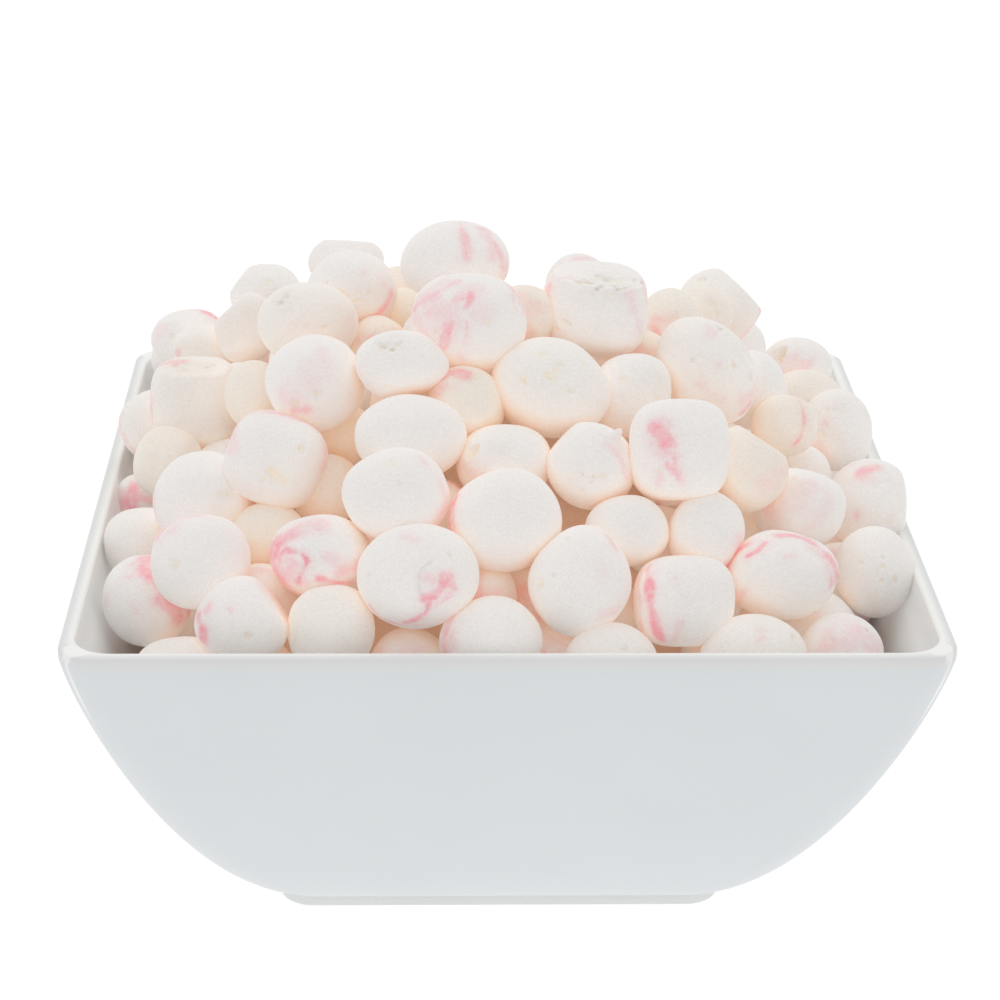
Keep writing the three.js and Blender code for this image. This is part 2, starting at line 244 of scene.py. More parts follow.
def makeBowl():
    rings = bowlRings()
    half, corner, z = rings[0]
    selectNone()
    bpy.ops.mesh.primitive_plane_add(size=2 * half * mm, location=(0, 0, z * mm))
    bowl = bpy.context.object
    bowl.name = "porcelain_bowl"
    bpy.ops.object.transform_apply(location=True, rotation=True, scale=True)
    bpy.ops.object.mode_set(mode="EDIT")
    bpy.ops.mesh.select_mode(type="VERT")
    bpy.ops.mesh.select_all(action="SELECT")
    bpy.ops.mesh.bevel(offset=corner * mm, offset_type="OFFSET", affect="VERTICES",
                       segments=bowlShape["cornerSegments"], profile=0.5)
    bpy.ops.mesh.select_all(action="SELECT")
    for ring, newRing in zip(rings, rings[1:]):
        nextRing(ring, newRing)
    bpy.ops.mesh.select_all(action="SELECT")
    bpy.ops.mesh.remove_doubles(threshold=bowlShape["weld"] * mm)
    bpy.ops.mesh.normals_make_consistent(inside=False)
    bpy.ops.object.mode_set(mode="OBJECT")
    bpy.ops.object.shade_smooth_by_angle(angle=math.radians(bowlShape["sharpAngle"]))
    # painted glow: the inner side gets its share of the glow by its depth under the rim
    inside = bowl.data.attributes.new("inside", "FLOAT", "POINT")
    for v in bowl.data.vertices:
        half, z = max(abs(v.co.x), abs(v.co.y)) / mm, v.co.z / mm
        if half < (innerHalf(z) + outerHalf(z)) / 2:
            inside.data[v.index].value = np.interp(bowlShape["height"] - z, *bowlShape["wallGlow"])
    return bowl


bowl = makeBowl()
print("bowl modelled:", len(bowl.data.polygons), "faces")

# Heap: how the sweets lie, in millimetres. Pairs are for the front and the back.
heap = {
    "peak": 58.0,
    "reach": 96.0,
    "outermost": 1.15,
    "squareness": (3, 5),
    "slope": (1.3, 1.5),
    "edge": (-8.0, 7.0),
    "edgeStart": -95,
    "edgeRun": 90,
    "backRun": 60,
    "backHollow": 20.0,
    "dipMiddle": 14,
    "dipHalf": 45,
    "dipStart": 30,
    "dipEnd": 100,
    "dipFade": 40,
    "coreDepth": 8.5,
    "secondDepth": 16.0,
    "press": 0.97,
    "behind": 30,
    "seed": 20611,
}

# Sweets as they show from the front, nearest rows first: place across and down the picture,
# then width and height in millimetres, turn in degrees, and 1 for the second layer
seen = [
    (243, 622, 23, 22, 0, 0), (331, 630, 21, 21.5, 0, 0), (491, 641, 24.5, 21.5, 0, 0),
    (753, 655, 25.5, 19.5, 0, 0), (842, 652, 20, 19, 0, 0), (611, 660, 22, 18, 0, 0),
    (182, 672, 22.5, 17, 0, 0), (410, 665, 19, 18, 0, 1), (558, 662, 19, 18, 0, 1),
    (201, 562, 24, 23, 0, 0), (684, 601, 24.5, 22, 0, 0), (147, 601, 22, 22.5, 0, 0),
    (418, 576, 29, 25, 10, 0), (580, 581, 24.5, 27, -15, 0), (781, 575, 28, 22, 0, 0),
    (875, 572, 20.5, 23, 0, 0), (322, 557, 25, 20.5, 0, 0), (505, 520, 27.5, 25, 0, 0),
    (146, 546, 21, 19.5, 0, 0), (627, 531, 20.5, 17.5, 0, 0), (706, 532, 19, 20.5, 0, 0),
    (482, 598, 17, 18, 0, 1), (262, 600, 18, 18, 0, 1), (528, 603, 18, 18, 0, 1),
    (205, 503, 26, 26, 0, 0), (276, 460, 24.5, 23, -20, 0), (396, 495, 26, 23, 0, 0),
    (799, 508, 23.5, 20, 0, 0), (591, 466, 22, 21.5, 0, 0), (679, 450, 24.5, 25, 0, 0),
    (870, 504, 23.5, 23.5, 0, 0), (326, 490, 18, 18, 0, 1), (268, 540, 20, 19, 0, 1),
    (746, 468, 21, 22.5, 0, 0), (411, 437, 27.5, 21, 0, 0), (504, 463, 23.5, 19, 0, 0),
    (146, 503, 18, 16, 0, 1), (168, 463, 18, 20, 0, 0), (797, 478, 18, 18, 0, 1),
    (745, 528, 17, 17, 0, 1), (196, 403, 23.5, 25, 0, 0), (315, 383, 25, 24.5, 0, 0),
    (551, 388, 30.5, 25, -15, 0), (706, 371, 24, 30, 30, 0), (784, 426, 17, 16, 0, 0),
    (402, 365, 23.5, 17, 0, 0), (837, 430, 19, 22, 0, 0), (466, 405, 19.5, 19.5, 0, 0),
    (632, 396, 20, 21.5, 0, 0), (752, 390, 18, 21, 0, 0), (150, 424, 17, 18.5, 0, 0),
    (254, 395, 15.5, 18, 0, 0), (343, 437, 17, 17, 0, 1), (308, 324, 26, 21.5, 0, 0),
    (352, 291, 24, 21.5, 0, 0), (469, 325, 29, 26, 0, 0), (595, 308, 27, 25, 0, 0),
    (246, 328, 17, 20, 0, 0), (671, 321, 17, 18, 0, 0), (205, 350, 18, 15, 0, 0),
    (806, 398, 20.5, 15.5, 0, 0), (796, 366, 20, 16, 0, 0), (641, 356, 16, 14, 0, 1),
    (378, 342, 16, 14, 0, 1), (455, 262, 28, 21.5, 0, 0), (700, 316, 18, 17, 0, 0),
    (720, 306, 24, 20, -20, 0), (266, 294, 20, 17, 0, 0), (346, 262, 20.5, 14, 0, 0),
    (190, 342, 22, 19, 0, 0), (525, 316, 17, 16, 0, 0), (578, 282, 17, 15, 0, 0),
    (404, 318, 16, 16, 0, 1), (398, 290, 14, 13, 0, 0),
]

drawState = heap["seed"]


def draw():
    global drawState
    drawState = (drawState * 16807) % 2147483647
    return drawState / 2147483647


def dot(a, b):
    return a[0] * b[0] + a[1] * b[1] + a[2] * b[2]


def apart(a, b):
    return math.sqrt((a[0] - b[0]) ** 2 + (a[1] - b[1]) ** 2 + (a[2] - b[2]) ** 2)


def rayTo(across, down):
    kx = (across - viewpoint["middle"]) / viewpoint["focus"]
    ky = (viewpoint["middle"] - down) / viewpoint["focus"]
    ray = [ahead[i] + kx * right[i] + ky * up[i] for i in range(3)]
    size = math.sqrt(dot(ray, ray))
    return [value / size for value in ray]


def pictured(point):
    offset = [point[i] - eye[i] for i in range(3)]
    far = dot(offset, ahead)
    scale = viewpoint["focus"] / far
    return (viewpoint["middle"] + scale * dot(offset, right),
            viewpoint["middle"] - scale * dot(offset, up), scale, far)


def dipShare(x, y):
    # where the dip behind the crest lies, 1 at its deepest
    across = max(1 - ((x - heap["dipMiddle"]) / heap["dipHalf"]) ** 2, 0)
    return across * clamp(y / heap["dipStart"], 0, 1) * clamp((heap["dipEnd"] - y) / heap["dipFade"], 0, 1)


def heapLevel(x, y):
    # height of the middles of the top sweets
    back = clamp(y / heap["backRun"], 0, 1)
    square = mix(*heap["squareness"], back)
    out = (abs(x / heap["reach"]) ** square + abs(y / heap["reach"]) ** square) ** (1 / square)
    edge = mix(*heap["edge"], clamp((y - heap["edgeStart"]) / heap["edgeRun"], 0, 1))
    rise = heap["peak"] * (1 - min(out, heap["outermost"]) ** mix(*heap["slope"], back))
    return bowlShape["height"] + edge + rise - heap["backHollow"] * dipShare(x, y)


def sideLimit(z, radius):
    # how far out from the middle a sweet of this radius may sit at height z
    rim = bowlShape["height"]
    if z < rim:
        slope = (innerHalf(z + 1) - innerHalf(z - 1)) / 2
        return innerHalf(z) - radius * math.sqrt(1 + slope * slope) * heap["press"]
    reach = math.sqrt(max(radius * radius - (z - rim) ** 2, 0))
    return min(mouthHalf + 1 - heap["press"] * reach, bowlShape["side"] / 2 - radius)


# How the shown sweets settle, in millimetres. touch is how near two may come, as a share of their
# radii, and near is how much further apart they still count as neighbours. Each round moves a sweet
# by most at the most, pulls it home to its start a little, and pushes it off the wall where its line
# of sight leans to the wall enough.
settling = {
    "rounds": 200,
    "touch": 0.94,
    "near": 8,
    "level": 2,
    "beside": 0.8,
    "most": 3,
    "home": 0.03,
    "wallLean": 0.3,
    "wallMost": 4,
    "nearest": 560,
    "farthest": 900,
    "widest": 104,
    "rest": 0.75,
    "restTouch": 0.9,
    "restTries": 60,
}


def onRay(sweet):
    sweet["at"] = [eye[i] + sweet["far"] * sweet["ray"][i] for i in range(3)]


def firstDistance(ray, under):
    # where a line of sight meets the level of its layer, or comes nearest to it
    best, found = math.inf, 0
    for far in range(settling["nearest"], settling["farthest"]):
        point = [eye[i] + far * ray[i] for i in range(3)]
        height = point[2] - heapLevel(point[0], point[1]) + under * heap["secondDepth"]
        if max(abs(point[0]), abs(point[1])) > settling["widest"]:
            continue
        if height < best:
            best, found = height, far
        if height <= 0:
            break
    return found


def resting(sweet, sweets):
    x, y, z = sweet["at"]
    if z - heapLevel(x, y) + heap["coreDepth"] < settling["rest"] * sweet["radius"]:
        return True
    return any(other is not sweet and apart(other["at"], sweet["at"])
               < settling["restTouch"] * (other["radius"] + sweet["radius"]) for other in sweets)


def pushApart(sweets, pairs):
    # how far each sweet has to move along its line of sight to stand clear of its neighbours
    shift = [0.0] * len(sweets)
    for i, j in pairs:
        a, b = sweets[i], sweets[j]
        need = settling["touch"] * (a["radius"] + b["radius"])
        reach = need + settling["near"]
        if abs(a["at"][0] - b["at"][0]) > reach:
            continue
        gap = apart(a["at"], b["at"])
        behind = b["far"] - a["far"]
        if gap >= need and (behind >= -settling["level"] or gap > reach):
            continue
        beside = max(gap * gap - behind * behind, 0)
        wanted = math.sqrt(max(need * need - beside, 0))
        way = -1 if behind < 0 and beside > (settling["beside"] * need) ** 2 else 1
        push = (wanted - way * behind) / 2
        if push > 0:
            shift[i] -= 0.5 * push * way
            shift[j] += 0.5 * push * way
    return shift


def settle(sweet, move):
    # one step along the line of sight: apart, back towards its start, and off the wall
    sweet["far"] += clamp(move, -settling["most"], settling["most"])
    sweet["far"] += settling["home"] * (sweet["start"] - sweet["far"])
    onRay(sweet)
    for axis in (0, 1):
        over = abs(sweet["at"][axis]) - sideLimit(sweet["at"][2], sweet["radius"])
        lean = sweet["ray"][axis] * (1 if sweet["at"][axis] > 0 else -1)
        if over > 0 and abs(lean) > settling["wallLean"]:
            sweet["far"] -= clamp(0.5 * over / lean, -settling["wallMost"], settling["wallMost"])


def shownSweets():
    # each sweet slides along its line of sight until it rests against its neighbours
    sweets = []
    for across, down, wide, high, turn, under in seen:
        ray = rayTo(across, down)
        far = firstDistance(ray, under)
        sweets.append({"ray": ray, "far": far, "start": far, "wide": wide, "high": high,
                       "turn": turn, "under": under, "radius": (wide + high) / 4})
    pairs = [(i, j) for i in range(len(sweets)) for j in range(i + 1, len(sweets))]
    for _ in range(settling["rounds"]):
        for sweet in sweets:
            onRay(sweet)
        for sweet, move in zip(sweets, pushApart(sweets, pairs)):
            settle(sweet, move)
    for sweet in sweets:
        onRay(sweet)
    for sweet in sweets:
        start, k = sweet["far"], 1
        while k < settling["restTries"] and not resting(sweet, sweets):
            sweet["far"] = start + (1 if k % 2 else -1) * math.ceil(k / 2)
            onRay(sweet)
            k += 1
    return sweets


def pictureTop(sweets):
    # the top edge of the shown sweets over each column of the picture
    top = [float(viewpoint["picture"])] * viewpoint["picture"]
    for sweet in sweets:
        across, down, scale, _ = pictured(sweet["at"])
        halfWide, halfHigh = sweet["wide"] * scale / 2, sweet["high"] * scale / 2
        column = math.ceil(across - halfWide)
        while column < across + halfWide:
            share = (column - across) / halfWide
            edge = down - halfHigh * math.sqrt(max(1 - share * share, 0))
            if 0 <= column < len(top):
                top[column] = min(top[column], edge)
            column += 1
    return top


# The sweets that the shown ones hide, and the layers underneath them, in millimetres: sinks are how
# far under the top each pass lies, at every spacing from -from to from, with random radius and shift
packing = {
    "hidden": {"sinks": (0, 5, 11), "from": 94, "spacing": 4, "radius": (9.5, 12.5), "rise": (-2, 1),
               "touch": 0.9},
    "underneath": {"sinks": (9, 13, 18, 24), "from": 92, "spacing": 5, "radius": (8.5, 11), "rise": (-2, 2),
                   "touch": 0.88},
    "shift": 2,
    "flatness": (1.7, 2),
    "drop": 3,
    "drops": 5,
    "overlap": 6,
    "covered": 0.8,
}


def roundHalf(value):
    return math.floor(value + 0.5)


def places(kind):
    # every place that a layer tries, pass by pass
    p = packing[kind]
    shift = (-packing["shift"], packing["shift"])
    for sink in p["sinks"]:
        for y in range(-p["from"], p["from"] + 1, p["spacing"]):
            for x in range(-p["from"], p["from"] + 1, p["spacing"]):
                radius = mix(*p["radius"], draw())
                at = [x + mix(*shift, draw()), y + mix(*shift, draw()), 0]
                at[2] = heapLevel(at[0], at[1]) - sink + mix(*p["rise"], draw())
                yield at, radius


def crowded(at, radius, packed, touch):
    return any(apart(other["at"], at) < touch * (other["radius"] + radius) for other in packed)


def looseSweet(at, radius, under):
    return {"at": at, "radius": radius, "wide": 2 * radius,
            "high": mix(*packing["flatness"], draw()) * radius, "turn": 360 * draw(), "under": under}


def hiddenSweets(shown):
    # the sweets that the shown ones hide, packed over the sides and the back
    top = pictureTop(shown)
    fronts = [(*pictured(sweet["at"]), sweet["radius"]) for sweet in shown]

    def sticksOut(at, radius):
        across, down, scale, far = pictured(at)
        size = radius * scale
        for share in (-0.9, -0.6, -0.3, 0, 0.3, 0.6, 0.9):
            column = clamp(roundHalf(across + share * size), 0, len(top) - 1)
            if down - size * math.sqrt(1 - share * share) < top[column] + 1:
                return True
        return any(other[3] > far and math.sqrt((other[0] - across) ** 2 + (other[1] - down) ** 2)
                   < size + other[4] * other[2] - packing["overlap"] for other in fronts)

    packed = list(shown)
    for at, radius in places("hidden"):
        for _ in range(packing["drops"]):
            if not sticksOut(at, radius):
                break
            at[2] -= packing["drop"]
        limit = sideLimit(at[2], radius)
        if abs(at[0]) > limit or abs(at[1]) > limit or sticksOut(at, radius):
            continue
        if not crowded(at, radius, packed, packing["hidden"]["touch"]):
            packed.append(looseSweet(at, radius, 1))
    return packed[len(shown):]


shown = shownSweets()
hidden = hiddenSweets(shown)
# a few settle a little further from the viewer, or nearer, so that the right neighbour is in front
for k, move in ((37, 9.0), (25, 4.0), (24, -2.0)):
    shown[k]["far"] += move
    onRay(shown[k])
print("sweets laid out:", len(shown), "shown,", len(hidden), "hidden")


def deepSweets(shown, hidden):
    # the layers underneath, glimpsed in the gaps
    fronts = [(*pictured(sweet["at"]), sweet["radius"]) for sweet in shown if not sweet["under"]]
    packed = shown + hidden
    for at, radius in places("underneath"):
        limit = sideLimit(at[2], radius)
        if abs(at[0]) > limit or abs(at[1]) > limit:
            continue
        if crowded(at, radius, packed, packing["underneath"]["touch"]):
            continue
        across, down, scale, far = pictured(at)
        if any(far < other[3] and math.hypot(other[0] - across, other[1] - down)
               < packing["covered"] * (radius + other[4]) * scale for other in fronts):
            continue
        packed.append(looseSweet(at, radius, 2))
    return packed[len(shown) + len(hidden):]


underneath = deepSweets(shown, hidden)
everySweet = shown + hidden + underneath
print("and", len(underneath), "underneath")

# Shape of a sweet: a soft pillow blown up unevenly. boxiness 2 is round, more is squarer. Waves are
# their number and the range of their lengths round the sweet, cutSoft rounds the edge of a flat
# side, and pressedFrom is how far inside the edge of the bowl the sweets begin to be pressed in.
puff = {
    "boxiness": (2.0, 2.45),
    "lump": 0.016,
    "lumpWaves": (5, 1.4, 3.4),
    "ripple": 0.0022,
    "rippleWaves": (6, 6, 12),
    "cutSoft": 1.2,
    "cutShare": 0.97,
    "pressedFrom": 2.5,
    "pressedSoft": 2.2,
    "seed": 977,
}

# How far the marks of the two tables below spread, as shares of the widths given there, and how deep
marking = {
    "dent": 0.65,
    "crease": 0.6,
    "nib": 0.55,
    "pit": 0.675,
    "pitEdge": 1.35,
    "pitWaves": (2, 8, 16),
    "pitUneven": 0.12,
    "pitDepth": 1.1,
    "pitTint": 0.8,
    "broken": 1.2,
    "brokenEdge": 1.6,
    "brokenDepth": 0.6,
    "crumbs": (5, 18, 34),
    "crumbShare": 0.22,
    "fineCrumbs": (5, 36, 60),
    "fineCrumbShare": 0.14,
    "streak": 0.85,
    "streakStrength": 0.8,
    "streakWaves": (3, 6, 14),
    "streakUneven": 0.16,
    "halo": 0.8,
    "haloReach": 2.2,
    "haloStrength": 0.3,
}

# What single sweets show, by their place in the list of seen ones. Marks lie at places across and
# down the picture, with sizes in millimetres. box: squareness. cuts: flat sides as right, up and
# towards the viewer, with the share of the radius that is kept. pits and dents: across, down, width,
# depth. nibs: across, down, width, height. rough: across, down, radius, height of the broken
# surface. creases: width, depth and their points.
shapeNotes = {
    0: {"cuts": [(0.8, 0.6, 0.1, 0.76)], "pits": [(252, 634, 1.5, 0.7), (236, 636, 0.9, 0.4)]},
    3: {"pits": [(793, 636, 1.8, 0.6), (794, 641, 1.2, 0.5)]},
    4: {"pits": [(864, 630, 1.6, 0.7), (824, 639, 1.5, 0.6)]},
    5: {"pits": [(622, 646, 1.4, 0.5)]},
    9: {"pits": [(179, 563, 2.4, 0.7)]},
    10: {"box": 2.8, "rough": [(651, 562, 4.0, 0.35)], "dents": [(684, 600, 5, 0.4)]},
    12: {"creases": [(0.8, 0.7, (434, 557), (424, 566), (421, 576), (422, 588), (428, 600), (430, 610))],
         "dents": [(441, 575, 11, 1.3), (446, 582, 7, 0.6)], "pits": [(452, 553, 1.2, 0.4),
         (370, 574, 1.3, 0.3)]},
    13: {"pits": [(541, 581, 1.7, 0.8), (538, 585, 1.2, 0.5), (553, 573, 1.1, 0.5), (567, 538, 1.2, 0.4)]},
    15: {"pits": [(855, 562, 1.2, 0.5), (878, 556, 1.1, 0.4), (877, 566, 1.4, 0.4), (876, 580, 1.1, 0.4),
         (890, 580, 1.5, 0.6), (889, 576, 1.0, 0.4)]},
    16: {"creases": [(0.9, 0.5, (290, 550), (302, 551), (308, 558), (306, 570), (300, 582))]},
    17: {"creases": [(0.9, 0.5, (457, 498), (455, 510), (455, 528))]},
    24: {"pits": [(234, 496, 1.7, 0.7), (224, 496, 1.1, 0.5), (228, 512, 0.9, 0.3)]},
    25: {"box": 2.7, "pits": [(275, 472, 2.2, 0.6), (281, 477, 3.0, 0.8), (288, 481, 2.4, 0.6),
         (302, 451, 1.4, 0.7), (269, 480, 1.2, 0.3)], "dents": [(280, 474, 8, 0.5)]},
    26: {"pits": [(392, 464, 2.2, 0.4), (400, 484, 1.1, 0.4)], "dents": [(404, 496, 9, 0.4)]},
    27: {"rough": [(795, 483, 4, 0.2)], "pits": [(790, 481, 1.2, 0.4)]},
    28: {"cuts": [(-0.73, 0.68, 0.1, 0.84)], "nibs": [(614, 437, 2.1, 3.2)],
         "creases": [(1.3, 0.5, (600, 436), (611, 445), (621, 459), (625, 472))],
         "pits": [(580, 474, 1.0, 0.5), (592, 478, 1.2, 0.5), (602, 477, 1.6, 0.6), (612, 488, 1.2, 0.4),
         (580, 492, 1.0, 0.5), (590, 484, 0.9, 0.4), (586, 478, 0.8, 0.4)], "dents": [(595, 481, 8, 0.6)]},
    29: {"box": 3.0, "dents": [(697, 420, 7, 0.9), (711, 446, 6, 0.6)],
         "creases": [(0.9, 0.4, (712, 458), (722, 450), (726, 440))], "pits": [(657, 469, 1.5, 0.5)]},
    30: {"pits": [(880, 521, 1.3, 0.4), (885, 516, 1.2, 0.4)],
         "creases": [(1.6, 0.5, (866, 487), (884, 481))]},
    33: {"cuts": [(0.55, 0.83, 0.05, 0.72)]},
    35: {"pits": [(474, 452, 3.4, 1.4), (470, 458, 2.4, 1.0), (478, 447, 1.6, 0.7)],
         "rough": [(498, 447, 4, 0.25)]},
    37: {"pits": [(158, 446, 1.8, 0.3)]},
    38: {"rough": [(792, 457, 6, 0.35)]},
    40: {"box": 3.1, "cuts": [(0.0, 0.9, 0.43, 0.8)], "rough": [(194, 366, 7.5, 0.55)],
         "pits": [(208, 364, 1.8, 0.8), (214, 364, 1.3, 0.6), (188, 367, 1.6, 0.6), (199, 361, 1.2, 0.5),
         (178, 366, 1.4, 0.5)]},
    41: {"pits": [(321, 396, 1.5, 0.8), (298, 405, 1.8, 0.8), (302, 409, 1.2, 0.5)]},
    42: {"pits": [(522, 380, 2.7, 0.6), (523, 384, 2.0, 0.5), (549, 378, 2.7, 0.6), (555, 374, 2.3, 0.5),
         (560, 368, 1.9, 0.5), (584, 366, 1.6, 0.4), (570, 392, 1.6, 0.6), (541, 357, 1.6, 0.25),
         (547, 357, 1.5, 0.25), (553, 382, 1.6, 0.4)]},
    43: {"pits": [(730, 367, 2.0, 0.8), (748, 377, 2.0, 0.9), (717, 330, 1.8, 0.7), (688, 363, 1.1, 0.5),
         (713, 370, 1.4, 0.3), (724, 337, 1.1, 0.4)], "dents": [(747, 354, 7, 1.6), (735, 362, 7, 0.5)]},
    45: {"rough": [(391, 347, 4.5, 0.45)], "dents": [(391, 345, 6.5, 1.2)], "pits": [(383, 348, 2.0, 0.7),
         (393, 350, 1.8, 0.7), (401, 345, 1.6, 0.5), (391, 388, 1.5, 0.7)]},
    46: {"pits": [(819, 435, 1.8, 0.7), (824, 410, 1.4, 0.4), (834, 410, 1.2, 0.4), (813, 401, 1.0, 0.4)],
         "rough": [(838, 404, 4, 0.2)]},
    48: {"rough": [(650, 382, 4, 0.3)], "pits": [(622, 381, 1.4, 0.4), (655, 399, 1.2, 0.4)]},
    53: {"rough": [(287, 305, 4.8, 0.5)], "dents": [(286, 305, 6, 0.7)], "pits": [(283, 308, 1.7, 0.6),
         (289, 301, 1.4, 0.5), (310, 330, 1.3, 0.5), (327, 333, 1.4, 0.5)]},
    54: {"pits": [(342, 296, 2.0, 0.5), (347, 300, 2.4, 0.6), (361, 304, 1.6, 0.4), (371, 297, 1.4, 0.4),
         (330, 286, 1.3, 0.3), (356, 306, 1.2, 0.4)]},
    55: {"dents": [(512, 306, 5, 0.6)], "pits": [(486, 326, 1.0, 0.3), (489, 328, 0.9, 0.3)]},
    56: {"box": 2.9, "cuts": [(0.1, 0.88, 0.46, 0.68)], "rough": [(608, 279, 10, 0.8)],
         "pits": [(590, 277, 2.4, 1.2), (593, 278, 1.8, 0.9), (609, 271, 3.0, 1.1), (580, 281, 2.2, 0.9),
         (614, 282, 1.7, 0.8), (632, 279, 2.0, 0.9), (598, 290, 1.8, 0.8), (618, 291, 1.7, 0.8),
         (602, 284, 1.4, 0.6), (624, 287, 1.3, 0.6), (600, 266, 1.5, 0.6), (637, 286, 1.3, 0.6),
         (566, 324, 1.6, 0.7), (561, 330, 1.3, 0.6), (571, 326, 1.0, 0.4)],
         "creases": [(1.2, 0.5, (634, 300), (634, 318), (628, 334))]},
    57: {"cuts": [(-0.68, 0.73, 0.1, 0.75)]},
    61: {"pits": [(774, 357, 4.5, 1.8), (771, 363, 3.0, 1.4), (779, 352, 2.4, 1.0)]},
    64: {"dents": [(420, 262, 7, 0.3)]},
    65: {"pits": [(706, 303, 2.4, 0.5), (709, 307, 2.0, 0.5), (713, 316, 1.8, 0.4), (690, 312, 1.5, 0.3)]},
    66: {"cuts": [(0.42, 0.91, 0.05, 0.74), (0.97, -0.2, 0.1, 0.92)], "pits": [(698, 281, 2.2, 0.6),
         (702, 280, 1.5, 0.4)]},
    67: {"pits": [(272, 284, 1.5, 0.3)], "cuts": [(-0.8, 0.6, 0.1, 0.88)]},
    68: {"cuts": [(0.05, 0.99, 0.1, 0.82)]},
    69: {"pits": [(176, 340, 1.6, 0.5)], "rough": [(174, 330, 4, 0.2)]},
}

